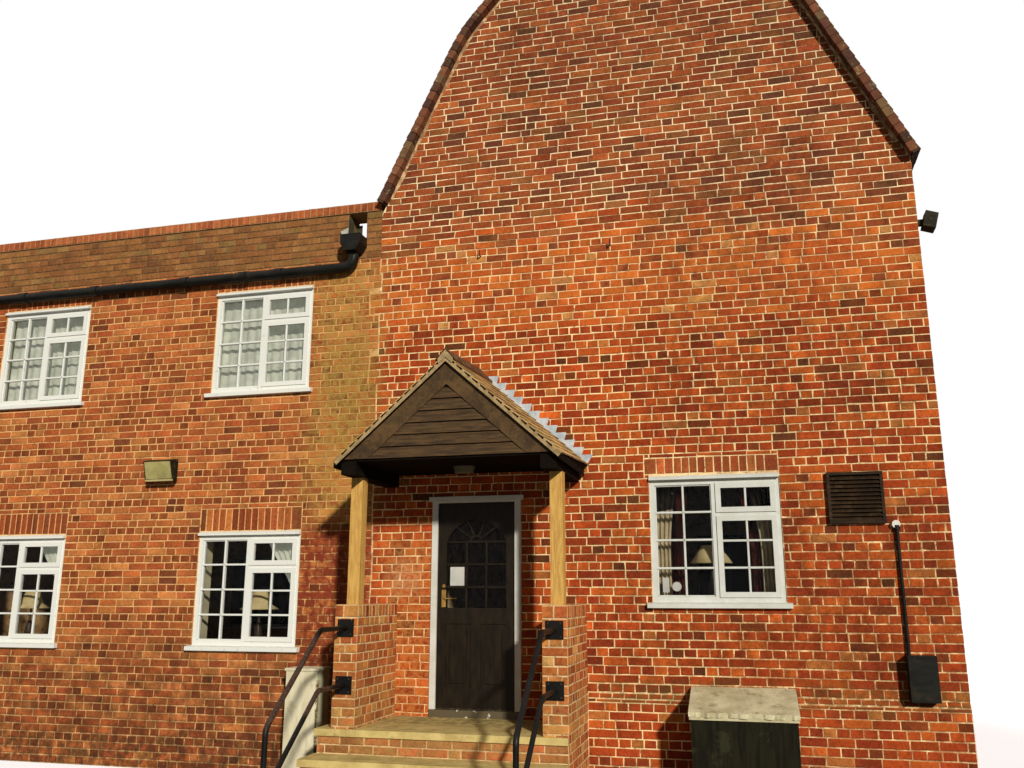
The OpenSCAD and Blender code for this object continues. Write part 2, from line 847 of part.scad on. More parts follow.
module leaf_hinge(z) {
    low = z - hinge_h / 2;
    high = z + hinge_h / 2;
    mid = [low + knuckle_h + knuckle_play, high - knuckle_h - knuckle_play];
    flap = [leaf_back, leaf_back + flap_t];
    clear = pin_x - knuckle_r - 2 * pin_gap;
    span([pin_x - flap_w, clear], flap, [low, high]);
    knuckle(mid[0], mid[1], pin_r + pin_gap);
    span([pin_x - flap_w, pin_x], flap, mid);
}

// Posts, head, stops, threshold and head board, with the fixed halves of the hinges
module door_frame() {
    y = [-jamb_out, leaf_back];
    stop_y = [-jamb_out, leaf_y - leaf_gap];
    inner_l = door_l + jamb_face;
    inner_r = door_r - jamb_face;
    head_z0 = frame_top - jamb_face;
    color("white") {
        span([door_l, inner_l], y, [main_floor_z, frame_top]);
        span([inner_r, door_r], y, [main_floor_z, frame_top]);
        span([inner_l, inner_r], y, [head_z0, frame_top]);
        span([inner_l, inner_l + stop_w], stop_y, [main_floor_z + threshold_h, head_z0]);
        span([inner_r - stop_w, inner_r], stop_y, [main_floor_z + threshold_h, head_z0]);
        span([inner_l, inner_r], stop_y, [head_z0 - stop_w, head_z0]);
        span([inner_l, inner_r], y, [main_floor_z, main_floor_z + threshold_h]);
        span([door_l - head_board_side, door_r + head_board_side],
            [-jamb_out - head_board_t, -jamb_out], [frame_top - head_board_h, frame_top]);
        for (z = hinge_zs) frame_hinge(z);
    }
}

// Outline of the glazed opening: straight sides under a flat arch
module arched(w, h, rise) {
    r = (w * w / 4 + rise * rise) / (2 * rise);
    half = asin(w / 2 / r);
    steps = 24;
    polygon(concat([[-w / 2, 0], [w / 2, 0]],
        [for (i = [0:steps]) let (t = half - i * 2 * half / steps)
            [r * sin(t), h + rise - r + r * cos(t)]]));
}

module lower_panel(x, y0, y1) {
    z = leaf_z + bottom_rail;
    difference() {
        span([x, x + panel_w], [y0, y1], [z, z + panel_h]);
        span([x + panel_margin, x + panel_w - panel_margin], [y0 - 1, y1 + 1],
            [z + panel_margin, z + panel_h - panel_margin]);
    }
}

module door_leaf() {
    color([0.16, 0.09, 0.06]) {
        difference() {
            span([leaf_l, leaf_r], [leaf_y, leaf_back], [leaf_z, leaf_top]);
            translate([door_x, 0, glaze_z])
                upright(leaf_y - 1, leaf_back + 1) arched(glaze_w, glaze_h, glaze_rise);
            door_glass_sheet();
            for (x = [leaf_l + stile_w, leaf_r - stile_w - panel_w]) {
                lower_panel(x, leaf_y - 1, leaf_y + panel_sink);
                lower_panel(x, leaf_back - panel_sink, leaf_back + 1);
            }
        }
        for (z = hinge_zs) leaf_hinge(z);
    }
}

module door_glass_sheet() {
    translate([door_x, 0, glaze_z - glass_in])
        upright(door_glass_y, door_glass_y + door_glass_t)
            arched(glaze_w + 2 * glass_in, glaze_h + glass_in, glaze_rise + glass_in);
}

module door_glass() {
    color("slategray") door_glass_sheet();
}

// A lever on its plate, standing out towards +Y
module lever() {
    neck = 45;
    span([-plate_w / 2, plate_w / 2], [0, plate_t], [-plate_h / 2, plate_h / 2]);
    rotate([-90, 0, 0]) cylinder(h = neck + lever_r, r = lever_r);
    translate([0, neck, 0])
        rotate([0, 90, 0]) cylinder(h = lever_l, r = lever_r);
}

// Levers on both faces of the leaf, each pointing to the hinges, and the lock above
module door_handle() {
    x = leaf_l + spindle_in;
    z = leaf_z + lever_z;
    lock_z = z + plate_h / 2 + 38;
    color("goldenrod") {
        translate([x, leaf_y, z]) mirror([0, 1, 0]) lever();
        translate([x, leaf_back, z]) lever();
        translate([x, leaf_y, lock_z]) rotate([90, 0, 0]) cylinder(h = 9, r = 16);
    }
}

module tread_slab(i) {
    top = main_floor_z - i * step_rise;
    back = i == 0 ? 0 : base_front + (i - 1) * step_go;
    span([step_left, porch_half], [-base_front - i * step_go - nosing, -back], [top - tread_t, top]);
}

module tread_slabs() {
    color("darkkhaki")
        translate([porch_x, 0, 0])
            for (i = [0:steps_n]) tread_slab(i);
}

// Brickwork under the landing and the two steps
module step_brickwork() {
    color("firebrick")
        translate([porch_x, 0, 0])
            for (i = [0:steps_n])
                span([step_left + nosing, porch_half], [-base_front - i * step_go, 0],
                    [0, main_floor_z - i * step_rise - tread_t]);
}

module dwarf_walls() {
    color("firebrick")
        translate([porch_x, 0, 0])
            for (side = [0, 1])
                mirror([side, 0, 0])
                    span([inner_half, porch_half], [-dwarf_d, 0], [main_floor_z, dwarf_z]);
}

module porch_posts() {
    color("peru")
        for (side = [-1, 1])
            translate([porch_x + side * post_x, -post_y, 0])
                span([-post_w / 2, post_w / 2], [-post_w / 2, post_w / 2], [dwarf_z, post_z]);
}

// Boxed eaves that stand on the posts, their tops cut to the slope of the roof
module porch_eaves_boxes() {
    cut_x = min(box_outer, max(box_inner, soffit_x(soffit_z)));
    color([0.2, 0.13, 0.09])
        translate([porch_x, 0, 0])
            for (side = [0, 1])
                mirror([side, 0, 0])
                    upright(-panel_y, 0)
                        polygon([[box_inner, post_z], [box_outer, post_z],
                            [box_outer, min(soffit_z, under_z(box_outer))],
                            [cut_x, min(soffit_z, under_z(cut_x))], [box_inner, soffit_z]]);
}

module porch_ceiling() {
    color([0.2, 0.13, 0.09])
        translate([porch_x, 0, 0])
            span([-box_inner, box_inner], [-panel_y, 0], [soffit_z - ceiling_t, soffit_z]);
}

// A pair of boards that meet in a mitre under the ridge
module porch_bargeboards() {
    drop = barge_w / porch_cos;
    color([0.25, 0.16, 0.1])
        translate([porch_x, 0, 0])
            upright(-porch_out, -panel_y)
                polygon([[0, barge_apex_z], [soffit_x(soffit_z), soffit_z],
                    [soffit_x(soffit_z + drop), soffit_z], [0, barge_apex_z - drop],
                    [-soffit_x(soffit_z + drop), soffit_z], [-soffit_x(soffit_z), soffit_z]]);
}

module porch_gable_boards() {
    color([0.22, 0.14, 0.09])
        translate([porch_x, 0, 0])
            upright(-panel_y, -panel_y + panel_t)
                polygon([[-soffit_x(soffit_z), soffit_z], [soffit_x(soffit_z), soffit_z], [0, barge_apex_z]]);
}

module porch_slope() {
    upright(-porch_out - porch_verge, 0)
        polygon([[0, under_z(0) + bed], [porch_eaves_half, under_z(porch_eaves_half) + bed],
            [porch_eaves_half, tiles_z(porch_eaves_half)], [0, tiles_apex]]);
}

module porch_roof_left() {
    color("tan") translate([porch_x, 0, 0]) mirror([1, 0, 0]) porch_slope();
}

module porch_roof_right() {
    color("tan") translate([porch_x, 0, 0]) porch_slope();
}

// Lead stepped with the brick courses, from the ridge tile down to the eaves
module stepped_lead() {
    start = (porch_ridge_w + ridge_t) * porch_cos;
    run = course_h / porch_tan;
    n = ceil((porch_eaves_half - start) / run);
    tip = run / 4;
    function top_z(i) = tiles_z(start + (i + 1) * run) + lead_min + course_h / 2;
    upright(-lead_t, 0)
        polygon(concat(
            [[start, tiles_z(start) + bed]],
            [for (i = [0:n - 1]) for (p = [[start + i * run, top_z(i)], [start + (i + 1) * run + tip, top_z(i)]]) p],
            [[porch_eaves_half, tiles_z(porch_eaves_half) + bed]]));
}

module porch_flashing() {
    color("lightslategray")
        translate([porch_x, 0, 0])
            for (side = [0, 1]) mirror([side, 0, 0]) stepped_lead();
}

module oval(l, w) {
    for (side = [-1, 1]) translate([side * (l - w) / 2, 0]) circle(w / 2);
    square([l - w, w], center = true);
}

module porch_lamp() {
    rim = 22;
    color("gainsboro")
        translate([porch_x, -lamp_y, soffit_z - ceiling_t - lamp_d]) {
            translate([0, 0, lamp_d - rim]) linear_extrude(rim) oval(lamp_l, lamp_w);
            linear_extrude(lamp_d - rim) oval(lamp_l - rim, lamp_w - rim);
        }
}

// Two rails on their wall plates; the lower one ends in the upper one's leg
module handrail() {
    turn_y = dwarf_d + rail_level;
    fall_z = rail_drop * tan(rail_fall);
    low_rail_less = 1.5;
    for (z = [rail_high, rail_low])
        span([-rail_plate / 2, rail_plate / 2], [-rail_start, -dwarf_d], [z - rail_plate / 2, z + rail_plate / 2]);
    rotate([90, 0, -90]) {
        bent_bar([[rail_start, rail_high], [turn_y, rail_high], [rail_foot, rail_high - fall_z],
            [rail_foot, 0]], rail_r, rail_bend);
        bent_bar([[rail_start, rail_low], [turn_y, rail_low], [rail_foot, rail_low - fall_z]],
            rail_r - low_rail_less, rail_bend);
    }
}

module handrails() {
    color("black")
        for (side = [-1, 1])
            translate([porch_x + side * post_x, 0, 0]) handrail();
}

// A rimmed vent with sloping slats between its sides
module louvred_vent() {
    inner_w = vent_w - 2 * vent_rim;
    bite = 1;
    rise = (vent_out - slat_t) * tan(slat_pitch);
    first_z = vent_rim + 2 * bite;
    gap = (vent_h - 2 * first_z - rise - slat_t) / (slats - 1);
    color([0.2, 0.12, 0.1])
        translate([vent_x, 0, vent_z]) {
            difference() {
                span([-vent_w / 2, vent_w / 2], [-vent_out, 0], [0, vent_h]);
                span([-inner_w / 2, inner_w / 2], [-vent_out - 1, -slat_t], [vent_rim, vent_h - vent_rim]);
            }
            lengthwise(-inner_w / 2 - bite, inner_w / 2 + bite)
                for (i = [0:slats - 1])
                    let (z = first_z + i * gap)
                        polygon([[-vent_out, z], [-slat_t, z + rise], [bite - slat_t, z + rise],
                            [bite - slat_t, z + rise + slat_t], [-slat_t, z + rise + slat_t],
                            [-vent_out, z + slat_t]]);
        }
}

// An open hopper that narrows to the pipe
module rainwater_head() {
    foot = 2 * pipe_r + head_foot;
    waist_z = head_h * head_waist;
    top = head_w / 2;
    color([0.1, 0.1, 0.1])
        translate([scupper_x, 0, head_z])
            difference() {
                upright(-head_out, 0)
                    polygon([[-foot / 2, 0], [foot / 2, 0], [top, waist_z], [top, head_h],
                        [-top, head_h], [-top, waist_z]]);
                upright(-head_out + head_t, -head_t)
                    polygon([[-foot / 2 + head_t, head_t], [foot / 2 - head_t, head_t],
                        [top - head_t, waist_z], [top - head_t, head_h + 1],
                        [-top + head_t, head_h + 1], [-top + head_t, waist_z]]);
            }
}

// Down from the head, along the wing and down its far corner, with collars
module rainwater_pipe() {
    color([0.1, 0.1, 0.1])
        translate([0, -pipe_off, 0]) {
            rotate([90, 0, 0])
                bent_bar([[scupper_x, head_z], [scupper_x, pipe_z], [pipe_end_x, pipe_z],
                    [pipe_end_x, shoe_z]], pipe_r, pipe_bend);
            for (off = collars)
                translate([-half_w - off - collar_l / 2, 0, pipe_z])
                    rotate([0, 90, 0]) cylinder(h = collar_l, r = collar_r);
        }
}

// The wide lamp on the wing, and a small one at the gable's right-hand corner
module floodlights() {
    arm_top = arm_low + arm_h;
    small_rake = small_w - arm_low;
    color([0.12, 0.12, 0.11]) {
        translate([-half_w - flood_x, 0, flood_z]) {
            lengthwise(-arm_out / 2, arm_out / 2)
                polygon([[0, arm_low], [0, arm_top], [-arm_out, arm_top], [-arm_out, arm_low]]);
            lengthwise(-flood_w / 2, flood_w / 2)
                polygon([
                    [-arm_out, flood_fall],
                    [-arm_out, flood_h],
                    [-flood_out, flood_h - flood_fall],
                    [-flood_out + flood_rake, 0]
                ]);
        }
        translate([half_w, small_y, small_z]) {
            span([0, arm_out + flood_fall], [-arm_low / 2, arm_low / 2], [arm_out, arm_h]);
            upright(-small_w / 2, small_w / 2)
                polygon([
                    [arm_out, arm_low],
                    [arm_out + small_rake, 0],
                    [arm_out + small_w, small_w],
                    [arm_out + arm_low, small_w + arm_low]
                ]);
        }
    }
}

module housing_body() {
    half = housing_w / 2;
    color([0.1, 0.1, 0.09])
        lengthwise(housing_x - half, housing_x + half)
            polygon([[-plinth_out, 0], [-plinth_out, housing_back - plinth_out * lid_fall - bed],
                [-housing_d, housing_front - bed], [-housing_d, 0]]);
}

module housing_lid() {
    half = housing_w / 2 + lid_out;
    front = housing_d + lid_out;
    color("darkgray")
        lengthwise(housing_x - half, housing_x + half)
            polygon([[0, housing_back], [0, housing_back + lid_t],
                [-front, housing_back - front * lid_fall + lid_t], [-front, housing_back - front * lid_fall]]);
}

module service_cupboard() {
    right = -half_w - cupboard_x;
    color("beige") {
        span([right - cupboard_w, right], [-cupboard_d, 0], [0, cupboard_h - cap_t]);
        span([right - cupboard_w - cap_out, right + cap_out], [-cupboard_d - cap_out, 0],
            [cupboard_h - cap_t, cupboard_h]);
    }
}

// A thin pipe with a round cap, rising from a small box that stands on the plinth
module wall_pipe() {
    off = thin_r + 16;
    color([0.08, 0.08, 0.08]) {
        translate([thin_x, -off, thin_foot]) cylinder(h = thin_z - thin_foot, r = thin_r);
        translate([thin_x, -off, thin_z - 30]) cylinder(h = 40, r = thin_r + 12);
        span([thin_x - 2 * thin_r, thin_x - 2 * thin_r + box_w], [-box_out, 0], [plinth_z, thin_foot]);
    }
}

front_wall_left();
front_wall_right();
front_wall_at_door();
front_gable();
side_walls();
back_wall();
roof_lower_slopes();
roof_upper_left();
roof_upper_right();
ridge_tiles();
floors();
wing_front_wall();
wing_end_wall();
wing_back_wall();
wing_roof();
front_parapet();
parapet_coping();
front_windows();
rear_windows();
window_glass();
door_frame();
door_leaf();
door_glass();
door_handle();
tread_slabs();
step_brickwork();
dwarf_walls();
porch_posts();
porch_eaves_boxes();
porch_ceiling();
porch_bargeboards();
porch_gable_boards();
porch_roof_left();
porch_roof_right();
porch_flashing();
porch_lamp();
handrails();
louvred_vent();
rainwater_head();
rainwater_pipe();
floodlights();
housing_body();
housing_lid();
service_cupboard();
wall_pipe();
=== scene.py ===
"""Looks of a brick oast house, laid over its CAD frame: bricks, roof tiles, joinery, fittings and light."""

import sys

import logging
import math
from dataclasses import dataclass, field
from enum import Enum
from typing import Callable

import bpy
import numpy as np
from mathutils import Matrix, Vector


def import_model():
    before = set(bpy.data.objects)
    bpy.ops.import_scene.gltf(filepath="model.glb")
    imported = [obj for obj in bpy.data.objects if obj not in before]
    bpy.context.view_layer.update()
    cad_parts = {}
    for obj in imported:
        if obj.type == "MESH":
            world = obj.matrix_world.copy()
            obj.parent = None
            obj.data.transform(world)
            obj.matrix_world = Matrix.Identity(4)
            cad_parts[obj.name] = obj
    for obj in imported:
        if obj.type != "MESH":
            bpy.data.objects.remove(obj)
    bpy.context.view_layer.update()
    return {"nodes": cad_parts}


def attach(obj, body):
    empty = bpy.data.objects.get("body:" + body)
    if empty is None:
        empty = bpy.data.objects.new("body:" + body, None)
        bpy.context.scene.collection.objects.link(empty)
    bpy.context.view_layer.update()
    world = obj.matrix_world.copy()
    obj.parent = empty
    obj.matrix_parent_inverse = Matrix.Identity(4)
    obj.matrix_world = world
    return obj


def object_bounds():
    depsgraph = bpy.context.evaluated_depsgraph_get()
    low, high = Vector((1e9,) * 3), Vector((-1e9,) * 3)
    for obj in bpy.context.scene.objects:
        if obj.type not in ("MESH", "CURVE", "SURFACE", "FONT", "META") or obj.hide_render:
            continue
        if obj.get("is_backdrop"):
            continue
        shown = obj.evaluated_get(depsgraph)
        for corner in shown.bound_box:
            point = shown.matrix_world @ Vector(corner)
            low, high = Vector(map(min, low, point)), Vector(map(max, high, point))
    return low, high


LOG = logging.getLogger("oast_house")
Shade = tuple[int, int, int]
Triple = tuple[float, float, float]
Corners = np.ndarray
Hole = tuple[float, float, float, float]
Room = tuple[float, float, float, float, float]
Outline = Callable[[np.ndarray], tuple[np.ndarray, np.ndarray]]


def linear(shade: Shade) -> tuple[float, float, float, float]:
    """Turns a display colour of 0 to 255 into the linear colour that shaders take.

    Args:
        shade: Red, green and blue from 0 to 255.

    Returns:
        Linear red, green, blue and an alpha of 1. Below 0.04045 a channel c gives c / 12.92, above it
        ((c + 0.055) / 1.055) to the power of 2.4.
    """
    parts = np.asarray(shade, float) / 255.0
    low, high = parts / 12.92, ((parts + 0.055) / 1.055) ** 2.4
    red, green, blue = np.where(parts <= 0.04045, low, high)
    return float(red), float(green), float(blue), 1.0


class Value:
    """A shader socket on which Python's operators build Math nodes."""

    def __init__(self, graph: "Graph", socket: bpy.types.NodeSocket) -> None:
        """Keeps the socket and the graph that it is in."""
        self.graph = graph
        self.socket = socket

    def maths(self, operation: str, *operands: "Value | float") -> "Value":
        """Adds a Math node of that operation on the given operands."""
        return self.graph.node("ShaderNodeMath", {"operation": operation}, dict(enumerate(operands)))

    def __add__(self, other: "Value | float") -> "Value":
        """Sum."""
        return self.maths("ADD", self, other)

    def __radd__(self, other: float) -> "Value":
        """Sum with a number on the left."""
        return self.maths("ADD", other, self)

    def __sub__(self, other: "Value | float") -> "Value":
        """Difference."""
        return self.maths("SUBTRACT", self, other)

    def __rsub__(self, other: float) -> "Value":
        """Difference from a number on the left."""
        return self.maths("SUBTRACT", other, self)

    def __mul__(self, other: "Value | float") -> "Value":
        """Product."""
        return self.maths("MULTIPLY", self, other)

    def __rmul__(self, other: float) -> "Value":
        """Product with a number on the left."""
        return self.maths("MULTIPLY", other, self)

    def __truediv__(self, other: "Value | float") -> "Value":
        """Quotient."""
        return self.maths("DIVIDE", self, other)

    def __abs__(self) -> "Value":
        """Size without sign."""
        return self.maths("ABSOLUTE", self)

    def least(self, other: "Value | float") -> "Value":
        """The lesser of the two."""
        return self.maths("MINIMUM", self, other)

    def most(self, other: "Value | float") -> "Value":
        """The greater of the two."""
        return self.maths("MAXIMUM", self, other)

    def rise(self, low: float, high: float) -> "Value":
        """A smooth step.

        Args:
            low: Where it is 0.
            high: Where it is 1; with low above high the step falls.

        Returns:
            0 to 1, along the smoothstep curve 3 x^2 - 2 x^3.
        """
        if low > high:
            return 1.0 - self.rise(high, low)
        inputs = {"Value": self, "From Min": low, "From Max": high}
        return self.graph.node("ShaderNodeMapRange", {"interpolation_type": "SMOOTHSTEP"}, inputs)


class Graph:
    """The nodes of one material, or of the world."""

    def __init__(self, owner: bpy.types.Material | bpy.types.World) -> None:
        """Empties its owner's tree.

        Args:
            owner: The material or the world that the nodes are for.
        """
        owner.use_nodes = True
        self.owner = owner
        self.tree = owner.node_tree
        self.tree.nodes.clear()
        self.kept: dict[str, Value] = {}

    def node(
        self, kind: str, settings: dict | None = None, inputs: dict | None = None, output: int | str = 0
    ) -> Value:
        """Adds a node.

        Args:
            kind: Blender's name of the node's type.
            settings: The node's own properties, set first.
            inputs: Values or links by a socket's name or number.
            output: The name or number of the socket that is given back.

        Returns:
            The output socket as a Value.
        """
        made = self.tree.nodes.new(kind)
        for key, value in (settings or {}).items():
            setattr(made, key, value)
        for key, value in (inputs or {}).items():
            if isinstance(value, Value):
                self.tree.links.new(value.socket, made.inputs[key])
            else:
                made.inputs[key].default_value = value
        return Value(self, made.outputs[output])

    def once(self, key: str, make: Callable[[], Value]) -> Value:
        """Gives the value kept under a key, and makes it the first time."""
        if key not in self.kept:
            self.kept[key] = make()
        return self.kept[key]

    def position(self) -> Value:
        """The point on the object, in metres in the frame that all pieces share."""
        return self.once("position", lambda: self.node("ShaderNodeTexCoord", output="Object"))

    def axis(self, name: str) -> Value:
        """The point's X, Y or Z."""
        return self.once(name, lambda: self.part(self.position(), name))

    def part(self, vector: Value, name: str) -> Value:
        """The X, Y or Z of a vector."""
        return self.node("ShaderNodeSeparateXYZ", None, {0: vector}, name)

    def attribute(self, name: str, output: str) -> Value:
        """The mesh's own attribute of that name, as Color, Vector or Fac."""
        return self.node("ShaderNodeAttribute", {"attribute_name": name}, None, output)

    def scaled(self, factors: Triple) -> Value:
        """The position stretched, for streaks and grain."""
        return self.node("ShaderNodeMapping", None, {"Vector": self.position(), "Scale": factors})

    def noise(
        self, scale: float, detail: float = 3.0, rough: float = 0.55, at: Value | None = None
    ) -> Value:
        """Soft noise from about 0.25 to 0.75 with so many lumps a metre."""
        inputs = {"Vector": at or self.position(), "Scale": scale, "Detail": detail, "Roughness": rough}
        return self.node("ShaderNodeTexNoise", None, inputs)

    def blend(self, share: "Value | float", first: object, second: object, mode: str = "MIX") -> Value:
        """Mixes two colours.

        Args:
            share: 0 for the first and 1 for the second.
            first: A value, or a display colour.
            second: A value, or a display colour.
            mode: Blender's name of the way to mix.

        Returns:
            The mixed colour.
        """
        ends = [linear(end) if isinstance(end, tuple) else end for end in (first, second)]
        settings = {"data_type": "RGBA", "blend_type": mode, "clamp_factor": True}
        return self.node("ShaderNodeMix", settings, {0: share, 6: ends[0], 7: ends[1]}, 2)

    def bump(self, height: Value, distance: float, strength: float = 1.0) -> Value:
        """The normal of a relief of that depth in metres."""
        return self.node(
            "ShaderNodeBump", None, {"Height": height, "Distance": distance, "Strength": strength})

    def surface(self, sockets: dict) -> bpy.types.Material:
        """Ends the material in a Principled surface with those sockets."""
        self.end(self.node("ShaderNodeBsdfPrincipled", None, sockets))
        return self.owner

    def end(self, shader: Value, kind: str = "Material") -> None:
        """Links a shader to the output of a material or of the world."""
        out = self.tree.nodes.new(f"ShaderNodeOutput{kind}")
        self.tree.links.new(shader.socket, out.inputs["Surface"])


@dataclass(frozen=True)
class Finish:
    """A named finish, built the first time that a piece asks for it."""

    name: str

    def material(self) -> bpy.types.Material:
        """The finish's material."""
        return bpy.data.materials.get(self.name) or self.build(Graph(bpy.data.materials.new(self.name)))

    def build(self, graph: Graph) -> bpy.types.Material:
        """Builds the finish.

        Args:
            graph: The new material's nodes, still empty.

        Returns:
            The material.
        """
        raise NotImplementedError(self.name)


@dataclass(frozen=True)
class Stain:
    """A stain in an upright rectangle of the front, with ragged edges.

    Its share is the product of a soft step at each side, shifted by noise.
    """

    shade: Shade
    left: float
    right: float
    low: float
    high: float
    soft: float = 0.25
    share: float = 0.6
    scale: float = 5.0
    near: float | None = None
    far: float = 0.35

    def over(self, graph: Graph, base: Value) -> Value:
        """Lays the stain over a colour.

        Args:
            graph: The material's nodes.
            base: The colour below.

        Returns:
            The stained colour.
        """
        rough = (graph.noise(self.scale, 4.0, 0.6) - 0.5) * (2.4 * self.soft)
        across, up = graph.axis("X") + rough, graph.axis("Z") + rough
        mask = across.rise(self.left - self.soft, self.left + self.soft)
        mask = mask * across.rise(self.right + self.soft, self.right - self.soft)
        mask = mask * up.rise(self.low - self.soft, self.low + self.soft)
        mask = mask * up.rise(self.high + self.soft, self.high - self.soft)
        mask = mask * graph.axis("Y").rise(self.far + 0.1, self.far)
        if self.near is not None:
            mask = mask * (graph.axis("Y") + rough).rise(self.near - self.soft, self.near + self.soft)
        patch = graph.noise(self.scale * 3.1, 5.0, 0.65).rise(0.34, 0.62)
        return graph.blend(mask * patch * self.share, base, self.shade)


# Each stain: shade, left, right, low, high, softness, share and scale
FRONT_STAINS = (
    Stain((176, 140, 70), -3.5, -2.74, 2.5, 5.3, 0.26, 0.8),
    # a deeper red patch with darker joints right of the near wing window, from 0.95 m to 2.42 m
    Stain((128, 54, 35), -3.52, -2.7, 0.95, 2.42, 0.1, 1.0, 4.0),
    Stain((140, 124, 58), -3.3, -2.74, 3.1, 4.4, 0.2, 0.4, 8.0),
    Stain((208, 136, 70), -2.6, -2.0, 0.5, 2.3, 0.14, 0.5, 6.0),
    Stain((208, 184, 138), -2.5, -2.2, 1.75, 2.05, 0.1, 0.3, 9.0),
    Stain((86, 88, 46), -0.45, 2.9, 0.76, 0.96, 0.08, 0.5, 6.0),
    Stain((54, 32, 20), -0.5, 2.9, 0.9, 2.7, 0.4, 0.38, 3.0),
    Stain((206, 112, 48), -2.72, 2.7, 4.5, 5.35, 0.3, 0.3, 3.0),
    Stain((52, 34, 26), 0.3, 1.9, 4.6, 6.3, 0.3, 0.35, 2.6),
    Stain((52, 38, 28), -1.6, 2.2, 7.0, 9.2, 0.5, 0.3, 3.4),
    Stain((60, 34, 22), 0.1, 2.6, 3.1, 4.5, 0.45, 0.4, 2.6),
    # painted shade: the wing's wall darkened up to 1.3 m
    Stain((64, 40, 26), -8.6, -2.8, -0.3, 1.3, 0.5, 0.6, 2.0),
    Stain((56, 44, 34), -8.6, 3.0, -0.3, 0.32, 0.16, 0.5, 4.0),
)
LOW_JOINTS = (
    Stain((158, 92, 46), 0.7, 2.9, -0.3, 2.9, 0.4, 0.8, 3.0),
    Stain((170, 110, 60), -2.7, -0.4, -0.3, 3.2, 0.4, 0.3, 3.0))
STEP_STAINS = (
    Stain((164, 136, 78), -2.37, -0.78, -0.2, 0.55, 0.03, 0.45, 6.0),
    Stain((178, 144, 84), -2.66, -0.5, 0.55, 0.95, 0.1, 0.4, 7.0),
)


@dataclass(frozen=True)
class Spots:
    """Worn or grown spots all over, where noise passes a level."""

    shade: Shade
    share: float
    scale: float = 9.0
    level: float = 0.6

    def over(self, graph: Graph, base: Value) -> Value:
        """Lays the spots over a colour and gives the result."""
        passed = graph.noise(self.scale, 5.0, 0.7).rise(self.level - 0.05, self.level + 0.06)
        return graph.blend(passed * self.share, base, self.shade)


@dataclass(frozen=True)
class BrickFinish(Finish):
    """Fired clay whose colour is each brick's own, with mortar smeared over its worn edges.

    The edge's distance is the lesser of half - |place| both ways, where place and half are the brick's own
    attributes. The smear is its fall from 0 to a few millimetres, shifted by noise.
    """

    smear: Shade = (228, 190, 136)
    smear_share: float = 0.75
    reach: float = 0.0045
    soot: float = 0.3
    lichen: float = 0.12
    # share of the painted shade line along each brick's lower edge
    foot: float = 0.6
    stains: tuple[Stain, ...] = ()

    def build(self, graph: Graph) -> bpy.types.Material:
        """Builds the finish, as in Finish.

        Args:
            graph: The new material's nodes, still empty.

        Returns:
            The material.
        """
        place, half = graph.attribute("place", "Vector"), graph.attribute("half", "Vector")
        along, up = graph.part(place, "X"), graph.part(place, "Y")
        long, tall, wear = (graph.part(half, k) for k in "XYZ")
        edge = (long - abs(along)).least(tall - abs(up))
        grain, mottle = graph.noise(150.0, 3.0, 0.7), graph.noise(27.0, 5.0, 0.7)
        light = (mottle - 0.5) * 1.5 + (grain - 0.5) * 0.9 + (graph.noise(1.3) - 0.5) * 0.5
        light = light + along / long * (wear - 0.5) * 0.5 + 1.0
        base = graph.blend(1.0, graph.attribute("tone", "Color"), light.most(0.1), "MULTIPLY")
        blotch = graph.noise(9.0, 5.0, 0.7).rise(0.56, 0.7) * self.soot
        base = graph.blend(blotch, base, (62, 38, 30))
        pale = graph.noise(31.0, 3.0, 0.7).rise(0.6, 0.72) * self.lichen
        base = graph.blend(pale, base, (206, 168, 120))
        # painted shade: a dark line along each brick's lower edge, where the joint below lies in shadow
        under = (up + tall).rise(0.014, 0.001) * graph.noise(40.0, 3.0, 0.6).rise(0.3, 0.6)
        base = graph.blend(under * self.foot, base, (54, 32, 20))
        worn = (edge + (graph.noise(70.0, 2.0, 0.6) - 0.5) * 0.012).rise(self.reach, self.reach * 0.15)
        base = graph.blend(worn * (wear * 0.6 + 0.4) * self.smear_share, base, self.smear)
        for stain in self.stains:
            base = stain.over(graph, base)
        relief = grain * 0.5 + mottle * 0.9 - graph.noise(48.0, 2.0, 0.5).rise(0.62, 0.75) * 0.8
        return graph.surface(
            {
                "Base Color": base, "Roughness": 0.9, "Specular IOR Level": 0.08,
                "Normal": graph.bump(relief, 0.003)})


